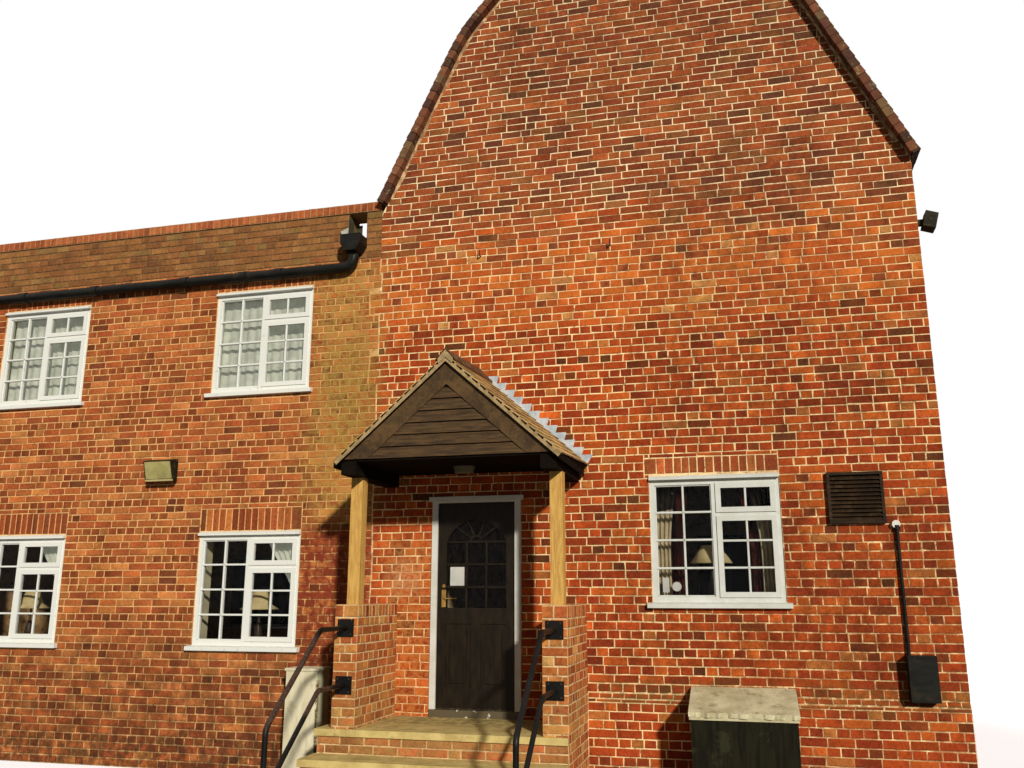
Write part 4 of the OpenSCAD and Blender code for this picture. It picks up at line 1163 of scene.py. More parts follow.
@dataclass
class Walls:
    """The brick faces of the gabled block and of the wing."""

    half: float = 2.725
    depth: float = 8.2
    wing_end: float = -8.41
    wing_depth: float = 5.6
    wall: float = 0.275
    edge: float = 0.008
    foot: float = 0.004
    ridge_z: float = 9.83
    eaves_z: float = 5.86
    straight_z: float = 5.85
    toothed_z: float = 5.34
    split_z: float = 5.4077
    band_z: float = 5.35
    parapet_z: float = 5.905
    well_z: float = 5.56
    wing_course: float = 0.0768
    band_course: float = 0.0772
    opening: float = 0.6
    plinth_left: float = -0.513
    plinth_out: float = 0.03
    plinth_z: float = 0.812
    main: BrickFinish = BrickFinish("gable_brick", smear_share=0.45, reach=0.0032, stains=FRONT_STAINS)
    newer: BrickFinish = BrickFinish(
        "wing_brick_face", smear=(214, 160, 100), smear_share=0.45, soot=0.2, lichen=0.08,
        stains=FRONT_STAINS)
    # the parapet's bricks take a stronger painted shade line along their lower edges
    dark: BrickFinish = BrickFinish(
        "parapet_brick", smear=(186, 124, 84), smear_share=0.3, lichen=0.25, foot=1.2)

    def plain_outline(self, height: np.ndarray) -> tuple[np.ndarray, np.ndarray]:
        """Both ends of the back gable's courses: upright up to the eaves, then under the roof covering.

        Args:
            height: The courses' heights.

        Returns:
            Left ends and right ends.
        """
        under = ROOF.half_at(height, COVERING) + self.foot
        half = np.where(height < self.straight_z, self.half + self.edge, under)
        return -half, half

    def gable_outline(self, height: np.ndarray) -> tuple[np.ndarray, np.ndarray]:
        """Left and right ends of the front gable's courses, toothed into the wing below its parapet."""
        left, right = self.plain_outline(height)
        return np.where(height < self.toothed_z, -self.half - toothing(height), left), right

    def wing_outline(self, height: np.ndarray) -> tuple[np.ndarray, np.ndarray]:
        """Ends of the wing's front courses: its far corner, and a joint short of the toothing."""
        right = np.where(height < self.toothed_z, -self.half - toothing(height) - 0.006, -self.half)
        return np.full_like(height, self.wing_end - self.edge), right

    def soldiers(self, shell: Shell, row: Hole, seed: int, joint: float = 0.0088) -> None:
        """Bricks on end over an opening, in one course as tall as the row.

        Args:
            shell: Where they are gathered.
            row: Their place as left, right, low and high.
            seed: Start of its random numbers.
            joint: Width of the joints.
        """
        sides, course = upright_sides(row[0], row[1]), row[3] - row[2]
        Brickwork(
            FRONT, row[2], row[3], sides, Toning((SOLDIERS,)), Bond.ON_EDGE, course, joint=joint,
            wave=0.001, seed=seed).lay(shell)

    def build(self) -> None:
        """Lays every face."""
        tones = Toning((GABLE_LOW, GABLE_BRIGHT, GABLE_HIGH), (4.45, 5.35), 0.22)
        self.gable(tones)
        self.plinth(tones)
        self.wing()
        self.block_sides(tones)
        self.wing_sides()

    def gable(self, tones: Toning) -> None:
        """The front gable: English bond below, loose bond above, and soldiers over its window.

        Args:
            tones: The block's colours by height.
        """
        shell = Shell()
        lintel = (MAIN_WINDOW.x - 0.64, MAIN_WINDOW.x + self.opening, 2.862, 3.018)
        door, vent, plinth = (
            -2.0645, -1.1495, 0.55, 2.699), (1.735, 2.185, 2.385, 2.8), (-0.515, 2.9, -0.1, 0.866)
        holes = (MAIN_WINDOW.hole(FRONT), door, vent, (*lintel[:3], lintel[3] + 0.002), plinth)
        Brickwork(
            FRONT, 0.005, self.split_z, self.gable_outline, tones, holes=holes, square=True, rough=0.0022,
            seed=11).lay(shell)
        Brickwork(
            FRONT, self.split_z, self.ridge_z, self.gable_outline, tones, Bond.MIXED, wave=0.006,
            joint=0.008, rough=0.0026, seed=12).lay(shell)
        self.soldiers(shell, lintel, 13, 0.009)
        shell.piece("gable_bricks", [self.main], slot="main_brick")

    def wing(self) -> None:
        """The wing's front, soldiers over its windows, and its parapet up to the coping."""
        shell = Shell()
        low = [(w.x - self.opening, w.x + self.opening, 2.404, 2.642) for w in LOW_WINDOWS]
        high = [(w.x - self.opening, w.x + self.opening, 5.106, 5.2) for w in HIGH_WINDOWS]
        holes = (*(w.hole(FRONT) for w in (*LOW_WINDOWS, *HIGH_WINDOWS)), *low, *high)
        Brickwork(
            FRONT, self.foot, self.band_z, self.wing_outline, Toning((WING,)), Bond.GARDEN,
            self.wing_course, holes=holes, wave=0.0015, square=True, headers=0.72, seed=21).lay(shell)
        for first, rows in ((31, low), (41, high)):
            for number, row in enumerate(rows):
                self.soldiers(shell, row, first + number)
        outlet = (-3.123, -2.909, 5.603, 6.0)
        Brickwork(
            FRONT, self.band_z, self.parapet_z, self.wing_outline, Toning((PARAPET,)), Bond.GARDEN,
            self.band_course, holes=(outlet,), wave=0.002, seed=22).lay(shell, 1)
        shell.piece("wing_front_bricks", [self.newer, self.dark], slot="wing_brick")

    def plinth(self, tones: Toning) -> None:
        """The worn plinth: its front, the slope on it and its end.

        Args:
            tones: The block's colours by height.
        """
        shell = Shell()
        rise, course, wide = 0.045, 0.0776, upright_sides(self.plinth_left, self.half + 0.002)
        run = math.hypot(self.plinth_out, rise)
        front = Face((0, -self.plinth_out, 0), (1, 0, 0))
        slope = Face(
            (0, -self.plinth_out, self.plinth_z + 0.003), (1, 0, 0), (0, self.plinth_out / run, rise / run))
        end = Face((self.half, -self.plinth_out, 0), (0, 1, 0))
        Brickwork(front, self.foot, self.plinth_z, wide, tones, course=course, seed=51).lay(shell)
        Brickwork(
            slope, 0.0, run, wide, tones, Bond.HEADERS, run, wave=0.0, seed=52, joint=0.009, proud=0.0045
        ).lay(shell)
        Brickwork(
            end, self.foot, self.plinth_z, upright_sides(-0.001, self.plinth_out), tones, course=course,
            seed=53).lay(shell)
        shell.piece("plinth_bricks", [self.main], slot="main_brick")

    def block_sides(self, tones: Toning) -> None:
        """The gabled block's sides and back, in the same bricks as its front.

        Args:
            tones: The block's colours by height.
        """
        right, left = Face((self.half, 0, 0), (0, 1, 0)), Face((-self.half, 0, 0), (0, -1, 0))
        runs = (
            (right, self.foot, 0.002, self.depth + self.edge),
            (left, self.foot, -self.depth, -self.wing_depth),
            (left, self.well_z, -self.wing_depth, -self.wall),
        )
        shell = Shell()
        for number, (face, low, first, last) in enumerate(runs):
            Brickwork(
                face, low, self.eaves_z, upright_sides(first, last), tones, holes=rear_holes(face),
                seed=61 + number).lay(shell)
        shell.piece("side_wall_bricks", [self.main], slot="main_brick")
        rear, back = Shell(), Face((0, self.depth, 0), (-1, 0, 0))
        Brickwork(
            back, self.foot, self.ridge_z, self.plain_outline, tones, holes=rear_holes(back), seed=64
        ).lay(rear)
        rear.piece("back_wall_bricks", [self.main], slot="main_brick")

    def wing_sides(self) -> None:
        """The wing's end and back, and the parapet's faces round the roof's well."""
        far, inner = self.wing_end + self.wall, self.wing_depth - self.wall
        end, back = Face((self.wing_end, 0, 0), (0, -1, 0)), Face((0, self.wing_depth, 0), (-1, 0, 0))
        sides = (
            (end, upright_sides(-self.wing_depth - self.edge, -0.002)),
            (back, upright_sides(self.half, -self.wing_end + self.edge)),
        )
        shell = Shell()
        for number, (face, outline) in enumerate(sides):
            Brickwork(
                face, self.foot, self.band_z, outline, Toning((WING,)), Bond.GARDEN, self.wing_course,
                holes=rear_holes(face), wave=0.0015, seed=71 + number).lay(shell)
            Brickwork(
                face, self.band_z, self.parapet_z, outline, Toning((PARAPET,)), Bond.GARDEN,
                self.band_course, wave=0.002, seed=75 + number).lay(shell, 1)
        shell.piece("wing_rear_bricks", [self.newer, self.dark], slot="wing_brick")
        well = (
            (
                Face((0, self.wall, 0), (-1, 0, 0)), upright_sides(self.half, -far),
                ((2.909, 3.123, 5.55, 6.0),)),
            (Face((0, inner, 0), (1, 0, 0)), upright_sides(far, -self.half), ()),
            (Face((far, 0, 0), (0, 1, 0)), upright_sides(self.wall, inner), ()),
        )
        shell = Shell()
        for number, (face, outline, holes) in enumerate(well):
            Brickwork(
                face, self.well_z, self.parapet_z, outline, Toning((PARAPET,)), Bond.GARDEN,
                self.band_course, holes=holes, wave=0.001, seed=81 + number).lay(shell)
        shell.piece("parapet_inner_bricks", [self.dark], slot="wing_brick")


@dataclass
class Coping:
    """Bricks on edge along the parapet, on its faces and over its top."""

    low: float = 5.905
    high: float = 6.01
    left: float = -8.425
    right: float = -2.745
    deep: float = 5.615
    run: float = 0.305
    lap: float = 0.015
    brick: float = 0.215
    finish: BrickFinish = BrickFinish(
        "coping_brick", smear=(196, 150, 100), smear_share=0.5, soot=0.25, lichen=0.2)

    def build(self) -> None:
        """Lays the front run, the back run and the end run."""
        shell = Shell()
        l, r, d, w, near = self.left, self.right, self.deep, self.run, -self.lap
        upright = (
            (Face((0, near, 0), (1, 0, 0)), l, r),
            (Face((0, w + near, 0), (-1, 0, 0)), -r, -l - w),
            (Face((0, d, 0), (-1, 0, 0)), -r, -l),
            (Face((0, d - w, 0), (1, 0, 0)), l + w, r),
            (Face((l, 0, 0), (0, -1, 0)), -d, self.lap),
            (Face((l + w, 0, 0), (0, 1, 0)), w + near, d - w),
            (Face((r, 0, 0), (0, 1, 0)), near, w + near),
            (Face((r, 0, 0), (0, 1, 0)), d - w, d),
        )
        for number, (face, first, last) in enumerate(upright):
            self.row(shell, face, (first, last, self.low, self.high), 91 + number)
        across = Face((0, 0, self.high), (1, 0, 0), (0, 1, 0))
        for number, low in enumerate((near, near + self.brick, d - w, d - w + self.brick)):
            self.row(
                shell, across, (l, r, low, low + (w - self.brick if number % 2 else self.brick)),
                101 + number)
        along = Face((0, 0, self.high), (0, 1, 0), (-1, 0, 0))
        self.row(shell, along, (w + near, d - w, -l - w, -l), 107)
        shell.piece("coping_bricks", [self.finish], slot="coping")

    def row(self, shell: Shell, face: Face, row: Hole, seed: int) -> None:
        """One row of bricks side by side.

        Args:
            shell: Where they are gathered.
            face: The face that they stand on.
            row: Their place as left, right, low and high.
            seed: Start of its random numbers.
        """
        Brickwork(
            face, row[2], row[3], upright_sides(row[0], row[1]), Toning((COPING,)), Bond.ON_EDGE,
            row[3] - row[2], wave=0.0, joint=0.009, seed=seed).lay(shell)


TILES = Palette(
    ((92, 60, 44), (80, 52, 40), (106, 68, 48), (72, 50, 40), (120, 86, 58), (88, 78, 58)),
    (0.26, 0.24, 0.2, 0.12, 0.1, 0.08), 0.14)
UNDERCLOAK = Palette(
    ((108, 68, 48), (122, 78, 54), (94, 62, 48), (82, 56, 44), (116, 90, 62)), (0.3, 0.24, 0.2, 0.16, 0.1),
    0.12)
PORCH_TILES = Palette(
    ((192, 160, 106), (176, 144, 94), (160, 128, 84), (200, 172, 122), (140, 112, 74)),
    (0.3, 0.25, 0.2, 0.15, 0.1), 0.1)
TILE_FINISH = Weathered(
    "roof_tile_face", own_tone=True, roughness=0.88, relief=0.002, scale=18.0,
    spots=Spots((170, 168, 120), 0.55, 14.0, 0.63), specular=0.08)
BEDDING = Weathered(
    "bedding_mortar", (222, 192, 146), (176, 144, 102), scale=9.0, roughness=0.95, relief=0.004,
    spots=Spots((126, 78, 50), 0.7, 7.0, 0.5), specular=0.06)
PORCH_BEDDING = Weathered(
    "porch_bedding_mortar", (196, 168, 124), (140, 116, 80), scale=9.0, roughness=0.95, relief=0.004,
    spots=Spots((84, 66, 44), 0.5, 9.0, 0.56), specular=0.06)


@dataclass
class TiledRoof:
    """Plain tiles in courses, the undercloak under each verge and the mortar that beds it."""

    front: float = -0.113
    back: float = 8.313
    gauge: float = 0.1
    width: float = 0.165
    thick: float = 0.012

    def slope(self, shell: Shell, side: int, past: float, seed: int) -> None:
        """Tiles one slope.

        Each tile is a wedge: its tail stands a tile's thickness off the slope and its head lies on it.

        Args:
            shell: Where the tiles are gathered.
            side: 1 for the right-hand slope and -1 for the left-hand one.
            past: How far its eaves run past the wall.
            seed: Start of its random numbers.
        """
        rng = np.random.default_rng(seed)
        rows = int((ROOF.length(past) - 0.02) / self.gauge) + 1
        across = int((self.back - self.front) / self.width) + 2
        row, column = np.meshgrid(np.arange(rows), np.arange(-1, across), indexing="ij")
        start = self.front + (column + 0.5 * (row % 2)) * self.width
        near, far = np.clip(start, self.front, self.back), np.clip(
            start + self.width, self.front, self.back)
        keep = (far - near) > 0.03
        row, near, far = row[keep], near[keep] + 0.0012, far[keep] - 0.0012
        count = len(row)
        tail = row * self.gauge - 0.012 + rng.normal(0, 0.002, count)
        head = np.minimum(tail + 0.14, ROOF.length(past))
        lift = self.thick + 0.002 + np.abs(rng.normal(0, 0.0022, count))
        tails, heads = np.maximum(tail, 0.0)[:, None], head[:, None]
        tail_depth = -np.stack([lift - self.thick, lift - self.thick, lift, lift], axis=1)
        head_depth = np.tile((0.003, 0.003, -0.003, -0.003), (count, 1))
        tail_at = ROOF.walk(np.repeat(tails, 4, axis=1), tail_depth, past)
        head_at = ROOF.walk(np.repeat(heads, 4, axis=1), head_depth, past)
        left, right = (near, far) if side > 0 else (far, near)
        y = np.stack([left, right, right, left] * 2, axis=1)
        corner = np.concatenate([tail_at[:, :2], head_at[:, :2], tail_at[:, 2:], head_at[:, 2:]], axis=1)
        corner[:, 4:6, 1] += rng.normal(0, 0.0015, (count, 2))
        points = np.stack([side * corner[..., 0], y, corner[..., 1]], axis=-1)
        hexahedra(shell, points, tone=TILES.pick(count, rng))

    def verge(self, shell: Shell, side: int, past: float, wall_y: float, out: int, seed: int) -> None:
        """The edge of one verge: short units side by side over the slope's end and under its overhang.

        Args:
            shell: Where they are gathered.
            side: 1 for the right-hand slope and -1 for the left-hand one.
            past: How far the eaves run past the wall.
            wall_y: The gable's face.
            out: -1 where the face looks to -Y and 1 where it looks to +Y.
            seed: Start of its random numbers.
        """
        rng = np.random.default_rng(seed)
        run = ROOF.length(past) - 0.25
        marks = np.arange(0.02, run, 0.106)
        first = marks + 0.003 + rng.normal(0, 0.0015, len(marks))
        last = marks + 0.102 + rng.normal(0, 0.0015, len(marks))
        top = np.full(len(marks), -0.004)
        under = 0.0725 + np.abs(rng.normal(0, 0.0022, len(marks)))
        distance = np.stack([first, last, last, first], axis=1)
        near = ROOF.walk(distance, np.repeat(under[:, None], 4, axis=1), past)
        far = ROOF.walk(distance, np.repeat(top[:, None], 4, axis=1), past)
        rim = 0.1175 + rng.normal(0, 0.0015, len(marks))
        inner = 0.012 + np.abs(rng.normal(0, 0.004, len(marks)))
        y = wall_y + out * np.stack([rim, rim, inner, inner], axis=1)
        order = [0, 1, 2, 3] if side * out > 0 else [3, 2, 1, 0]
        pick = np.array([0, 1, 1, 0])
        low = np.stack([side * near[:, pick, 0], y, near[:, pick, 1]], axis=-1)[:, order]
        high = np.stack([side * far[:, pick, 0], y, far[:, pick, 1]], axis=-1)[:, order]
        hexahedra(shell, np.concatenate([high, low], axis=1), tone=UNDERCLOAK.pick(len(marks), rng))

    def fillet(self, shell: Shell, side: int, wall_y: float, out: int, seed: int) -> None:
        """The mortar between brickwork and undercloak: a band whose lower edge wanders.

        Width = 26 mm, and up to 20 mm of slow and 16 mm of quick noise, in the gable's plane.
        It bulges a little.

        Args:
            shell: Where it is gathered.
            side: 1 for the right-hand slope and -1 for the left-hand one.
            wall_y: The gable's face.
            out: -1 where the face looks to -Y and 1 where it looks to +Y.
            seed: Start of its random numbers.
        """
        rng = np.random.default_rng(seed)
        distance = np.linspace(0.06, ROOF.length(0.0) - 0.08, 560)
        slow = np.interp(distance, np.linspace(0, 5, 40), rng.random(40))
        quick = np.interp(distance, np.linspace(0, 5, 260), rng.random(260))
        width = 0.026 + 0.02 * slow + 0.016 * quick
        share = np.linspace(0, 1, 5)[:, None]
        depth = COVERING - 0.0035 + share * width
        bulge = 0.0035 + 0.0075 * np.sqrt(1 - share) + 0 * width
        bulge[-1] = -0.002
        path = ROOF.walk(np.broadcast_to(distance, depth.shape), depth)
        rows = np.stack([side * path[..., 0], wall_y + out * bulge, path[..., 1]], axis=-1)
        rows = rows if side * out > 0 else rows[:, ::-1]
        tone = np.tile((0.5, 0.5, 0.5, 1.0), (rows.shape[0] * rows.shape[1], 1))
        strip(shell, rows, 1, tone=tone)

    def build(self) -> None:
        """Tiles both slopes and makes the four verges."""
        for name, side, past, seed in (("right", 1, 0.065, 201), ("left", -1, 0.015, 202)):
            shell = Shell()
            self.slope(shell, side, past, seed)
            shell.piece(f"roof_tiles_{name}", [TILE_FINISH], slot="roof_tile")
        verges = Shell()
        for number, (wall_y, out) in enumerate(((0.0, -1), (8.2, 1))):
            for side, past in ((1, 0.065), (-1, 0.015)):
                self.verge(verges, side, past, wall_y, out, 211 + 2 * number + side)
                self.fillet(verges, side, wall_y, out, 221 + 2 * number + side)
        verges.piece("verge_undercloak", [TILE_FINISH, BEDDING], slot="roof_tile")


# its stain is painted light: the wing's window frames are lightened
WHITE_PAINT = Weathered(
    "white_gloss_paint", (212, 214, 208), (198, 200, 190), scale=4.0, fine=60.0, roughness=0.5,
    relief=0.0004, spots=Spots((186, 176, 150), 0.4, 11.0, 0.66),
    stains=(Stain((225, 226, 219), -8.0, -3.0, 0.9, 6.0, 0.05, 40.0),))
# its stain is a painted shadow across the upper part of the main window's cream curtains
CREAM_CLOTH = Weathered(
    "cream_curtain_cloth", (226, 212, 176), (198, 182, 146), scale=10.0, fine=400.0, roughness=0.95,
    relief=0.0008, specular=0.05, stains=(Stain((40, 32, 24), -0.2, 1.6, 2.56, 3.2, 0.04, 40.0),))
RED_CLOTH = Weathered(
    "dark_red_curtain_cloth", (78, 32, 24), (44, 20, 16), scale=10.0, fine=400.0, roughness=0.95,
    relief=0.0008, specular=0.05)
DARK_CLOTH = Weathered(
    "dark_curtain_cloth", (40, 34, 28), (22, 19, 16), scale=10.0, fine=400.0, roughness=0.95, relief=0.0008,
    specular=0.03)
# painted light: the nets glow a little, standing in for light that passes through the sheer cloth
NET = Weathered(
    "net_curtain_cloth", (216, 219, 202), (192, 196, 178), scale=8.0, fine=500.0, roughness=0.95,
    relief=0.0006, specular=0.05, glow=0.24)
SHADE_CLOTH = Weathered(
    "lampshade_cloth", (236, 216, 162), (220, 196, 138), scale=8.0, fine=300.0, roughness=0.9,
    relief=0.0005, specular=0.05)
LAMP_FOOT = Weathered("lamp_foot_glaze", (74, 60, 44), (50, 40, 30), roughness=0.4)
CARD = Weathered("blank_white_card", (232, 232, 222), (222, 222, 210), roughness=0.6, relief=0.0001)


@dataclass
class Curtain:
    """One hanging curtain with upright folds.

    The cloth's line is y = depth * sin(2 pi * folds * u) across its width. A tied one narrows to 1 - tie of
    its width at two thirds of its height, towards the right where tie is above 0 and to the left below it.
    """

    name: str
    window: WindowPlace
    left: float
    right: float
    folds: float
    depth: float
    finish: Finish
    low: float = 0.02
    high: float = 1.093
    behind: float = 0.16
    tie: float = 0.0
    curve: float = 1.0

    def build(self, rail: str) -> None:
        """Args:
            rail: Not used.
        """
        u = np.linspace(0, 1, int(self.folds * 14) + 2)[None, :]
        v = np.linspace(0, 1, 18)[:, None]
        middle, half = (self.left + self.right) / 2, (self.right - self.left) / 2
        waist = 1 - abs(self.tie) * np.sin(np.minimum(v / 0.66, 1.0) * math.pi / 2) ** self.curve
        s = middle + math.copysign(half, self.tie) * (1 - waist) + (u - 0.5) * 2 * half * waist
        sway = self.depth * np.sin(2 * math.pi * self.folds * u + 0.5 * np.sin(3.1 * v)) * (0.75 + 0.25 * v)
        face = self.window.face(self.behind)
        rows = face.at(s + 0 * v, self.high + (self.low - self.high) * v + 0 * u, sway)
        shell = Shell()
        strip(shell, rows[::-1])
        cloth = shell.piece(self.name, [self.finish])


@dataclass
class Windows:
    """Glazing bars, boards, curtains and lamps of the casement windows."""

    bar: float = 0.019
    half: float = CASEMENT_HALF
    height: float = 1.127
    sash_high: float = 0.725
    fan_low: float = 0.821
    fan_high: float = 0.258
    face_w: float = 0.048
    sash: float = 0.04
    fixed_glass: float = 0.0475
    sash_glass: float = 0.018

    def bars(self, shell: Shell, window: WindowPlace) -> None:
        """Glazing bars of the fixed light and of the two opening lights, and the bead round the fixed glass.

        Args:
            shell: Where they are gathered.
            window: Which window.
        """
        mid = self.face_w / 2
        left, right = -self.half + self.face_w, -mid
        width = right - left
        high = self.height - self.face_w
        b = self.bar / 2
        centre = (left + right) / 2
        rows = self.face_w + (high - self.face_w) * np.arange(1, 4) / 4
        lines = [(centre - b, centre + b, self.face_w, high)]
        lines += [(left, right, z - b, z + b) for z in rows]
        fixed = window.face(self.fixed_glass - 0.003)
        self.lay(shell, fixed, lines, 0.03)
        bead = 0.012
        edges = [
            (left, right, self.face_w, self.face_w + bead), (left, right, high - bead, high),
            (left, left + bead, self.face_w, high), (right - bead, right, self.face_w, high)]
        self.lay(shell, fixed, edges, 0.022)
        inner_l, inner_r = mid + self.sash, mid + width - self.sash
        centre = (inner_l + inner_r) / 2
        low_l, low_h = self.face_w + self.sash, self.face_w + self.sash_high - self.sash
        fan_l, fan_h = self.fan_low + self.sash, self.fan_low + self.fan_high - self.sash
        lines = [(centre - b, centre + b, low_l, low_h), (centre - b, centre + b, fan_l, fan_h)]
        lines += [(inner_l, inner_r, z - b, z + b) for z in rows[:2] - (0.0, 0.012)]
        self.lay(shell, window.face(self.sash_glass - 0.003), lines, 0.014)

    def lay(self, shell: Shell, face: Face, lines: list[Hole], proud: float) -> None:
        """Adds bars with bevelled edges on a plane of glass.

        Args:
            shell: Where they are gathered.
            face: The plane.
            lines: The bars as left, right, low and high.
            proud: How far they stand out.
        """
        rows = np.array(lines, float)
        blocks(shell, face, outlines(*rows.T), np.full(len(rows), proud), 0.0035, sunk=0.012)

    def boards(self, shell: Shell, window: WindowPlace, wall: float) -> None:
        """The board on the sill inside."""
        face = window.face(0.0)
        boxes(shell, face, [-self.half + 0.002, -0.054, -wall - 0.03], [self.half - 0.002, -0.03, -0.0855])

    def rails(self, shell: Shell, window: WindowPlace) -> None:
        """A round rail across the head, inside, with an end in each reveal.

        Args:
            shell: Where it is gathered.
            window: Which window.
        """
        face = window.face(0.16)
        ends = face.at(np.array([-self.half + 0.001, self.half - 0.001]), np.array([1.1, 1.1]), 0.0)
        round_bar(shell, tuple(ends[0]), tuple(ends[1]), 0.007, 8)

    def lamp(
        self, shell: Shell, window: WindowPlace, s: float, behind: float, cone: list[tuple[float, float]]
    ) -> None:
        """A lamp on the board: a turned foot and a cloth shade, each a profile turned about the axis.

        Args:
            shell: Where it is gathered.
            window: The window that it stands in.
            s: Its axis, from the window's middle.
            behind: Its axis, from the wall's face.
            cone: The shade's profile as radius and height.
        """
        turn = np.linspace(0, 2 * math.pi, 24, endpoint=False)[None, :]
        top = cone[0][1] + 0.03
        foot = np.array(
            [
                (0.0, -0.03), (0.06, -0.03), (0.06, -0.018), (0.02, -0.005), (0.045, top * 0.2),
                (0.04, top * 0.4), (0.012, top * 0.6), (0.01, top), (0.0, top)])
        for mark, profile in ((1, foot), (0, np.array(cone))):
            radius, height = profile[:, :1], profile[:, 1:]
            rows = window.face(behind).at(
                s + radius * np.cos(turn), height + 0 * turn, radius * np.sin(turn))
            strip(shell, rows[:, ::-1], mark, closed=True)

    def build(self) -> None:
        """Makes the joinery's fine parts and what shows behind the glass."""
        front, rear, boards, rail = Shell(), Shell(), Shell(), Shell()
        for window in (*FRONT_WINDOWS, *REAR_WINDOWS):
            self.bars(front if window in FRONT_WINDOWS else rear, window)
            self.boards(boards, window, 0.33 if window.x > -1 else 0.275)
            self.rails(rail, window)
        front.piece("front_glazing_bars", [WHITE_PAINT], slot="white_timber")
        rear.piece("rear_glazing_bars", [WHITE_PAINT], slot="white_timber")
        boards.piece("window_boards", [WHITE_PAINT], slot="white_timber")
        rail.piece("curtain_rails", [WHITE_PAINT])
        lamps = Shell()
        self.lamp(
            lamps, MAIN_WINDOW, -0.06, 0.25, [(0.0, 0.36), (0.2, 0.354), (0.085, 0.521), (0.0, 0.518)])
        for window in LOW_WINDOWS:
            bell = [(0.0, 0.366), (0.205, 0.36), (0.125, 0.41), (0.1, 0.48), (0.075, 0.545), (0.0, 0.55)]
            self.lamp(lamps, window, 0.04, 0.23, bell)
        lamps.piece("window_lamps", [SHADE_CLOTH, LAMP_FOOT])
        labels, pane = Shell(), MAIN_WINDOW.face(0.054)
        boxes(labels, pane, [-0.507, 0.085, -0.0015], [-0.447, 0.22, 0.0])
        ends = pane.at(np.array([-0.377, -0.377]), np.array([0.138, 0.138]), np.array([0.0, -0.0015]))
        round_bar(labels, tuple(ends[0]), tuple(ends[1]), 0.043, 24)
        labels.piece("window_cards", [CARD])
        self.curtains()

    def curtains(self) -> None:
        """Hangs the curtains that show from outside."""
        main = (
            ("left", -0.56, -0.36, 3.5, -0.35, CREAM_CLOTH), ("behind", -0.47, -0.24, 2.5, -0.3, RED_CLOTH),
            ("right", 0.3, 0.56, 4.0, 0.4, CREAM_CLOTH), ("lining", 0.2, 0.48, 3.0, 0.4, RED_CLOTH),
        )
        hung = []
        for name, left, right, folds, tie, cloth in main:
            behind, depth = (0.16, 0.018) if cloth is CREAM_CLOTH else (0.2, 0.016)
            hung.append(
                Curtain(
                    f"main_curtain_{name}", MAIN_WINDOW, left, right, folds, depth, cloth, behind=behind,
                    tie=tie))
        for number, window in enumerate(LOW_WINDOWS, 1):
            hung.append(
                Curtain(
                    f"wing_low_curtain_{number}", window, 0.14, 0.58, 6.0, 0.016, NET, tie=0.8, curve=1.5))
        for number, window in enumerate(HIGH_WINDOWS, 1):
            hung.append(
                Curtain(f"wing_high_net_{number}", window, -0.585, 0.585, 11.0, 0.009, NET, behind=0.15))
        # dark curtains drawn across every rear window keep the rooms dark: painted shade
        for number, window in enumerate(REAR_WINDOWS, 1):
            hung.append(Curtain(f"rear_curtain_{number}", window, -0.59, 0.59, 7.0, 0.014, DARK_CLOTH))
        for curtain in hung:
            curtain.build("curtain_rails")


DARK_BOARD = Weathered(
    "dark_stained_board", (92, 69, 42), (50, 37, 24), scale=4.0, stretch=(1.0, 6.0, 12.0), fine=40.0,
    roughness=0.8, relief=0.002, spots=Spots((128, 104, 74), 0.4, 17.0, 0.66))
BARGE = Weathered(
    "bargeboard_stain", (98, 74, 44), (58, 43, 27), scale=4.0, fine=46.0, roughness=0.8, relief=0.002,
    spots=Spots((44, 32, 20), 0.5, 7.0))
# near-black boards: painted shade under the porch roof over dark-stained wood; also fills the gaps under the
# tiles and behind the weatherboards
PAINTED_SHADE_BOARD = Weathered(
    "shaded_eaves_board", (26, 20, 14), (14, 11, 8), scale=5.0, fine=40.0, roughness=0.9, relief=0.002,
    spots=Spots((84, 66, 44), 0.35, 15.0, 0.68), specular=0.05)
RIDGE_CLAY = Weathered(
    "ridge_tile_clay", (110, 74, 50), (78, 52, 38), roughness=0.85, relief=0.003,
    spots=Spots((170, 164, 112), 0.4), specular=0.08)
DOOR_PAINT = Weathered(
    "dark_brown_door_paint", (36, 28, 17), (22, 17, 11), scale=5.0, stretch=(4.0, 4.0, 1.0), roughness=0.5,
    relief=0.0008, spots=Spots((96, 74, 50), 0.5, 34.0, 0.7), specular=0.12,
    stains=(Stain((150, 132, 100), -2.1, -1.1, 0.6, 0.675, 0.01, 0.5, 30.0),))


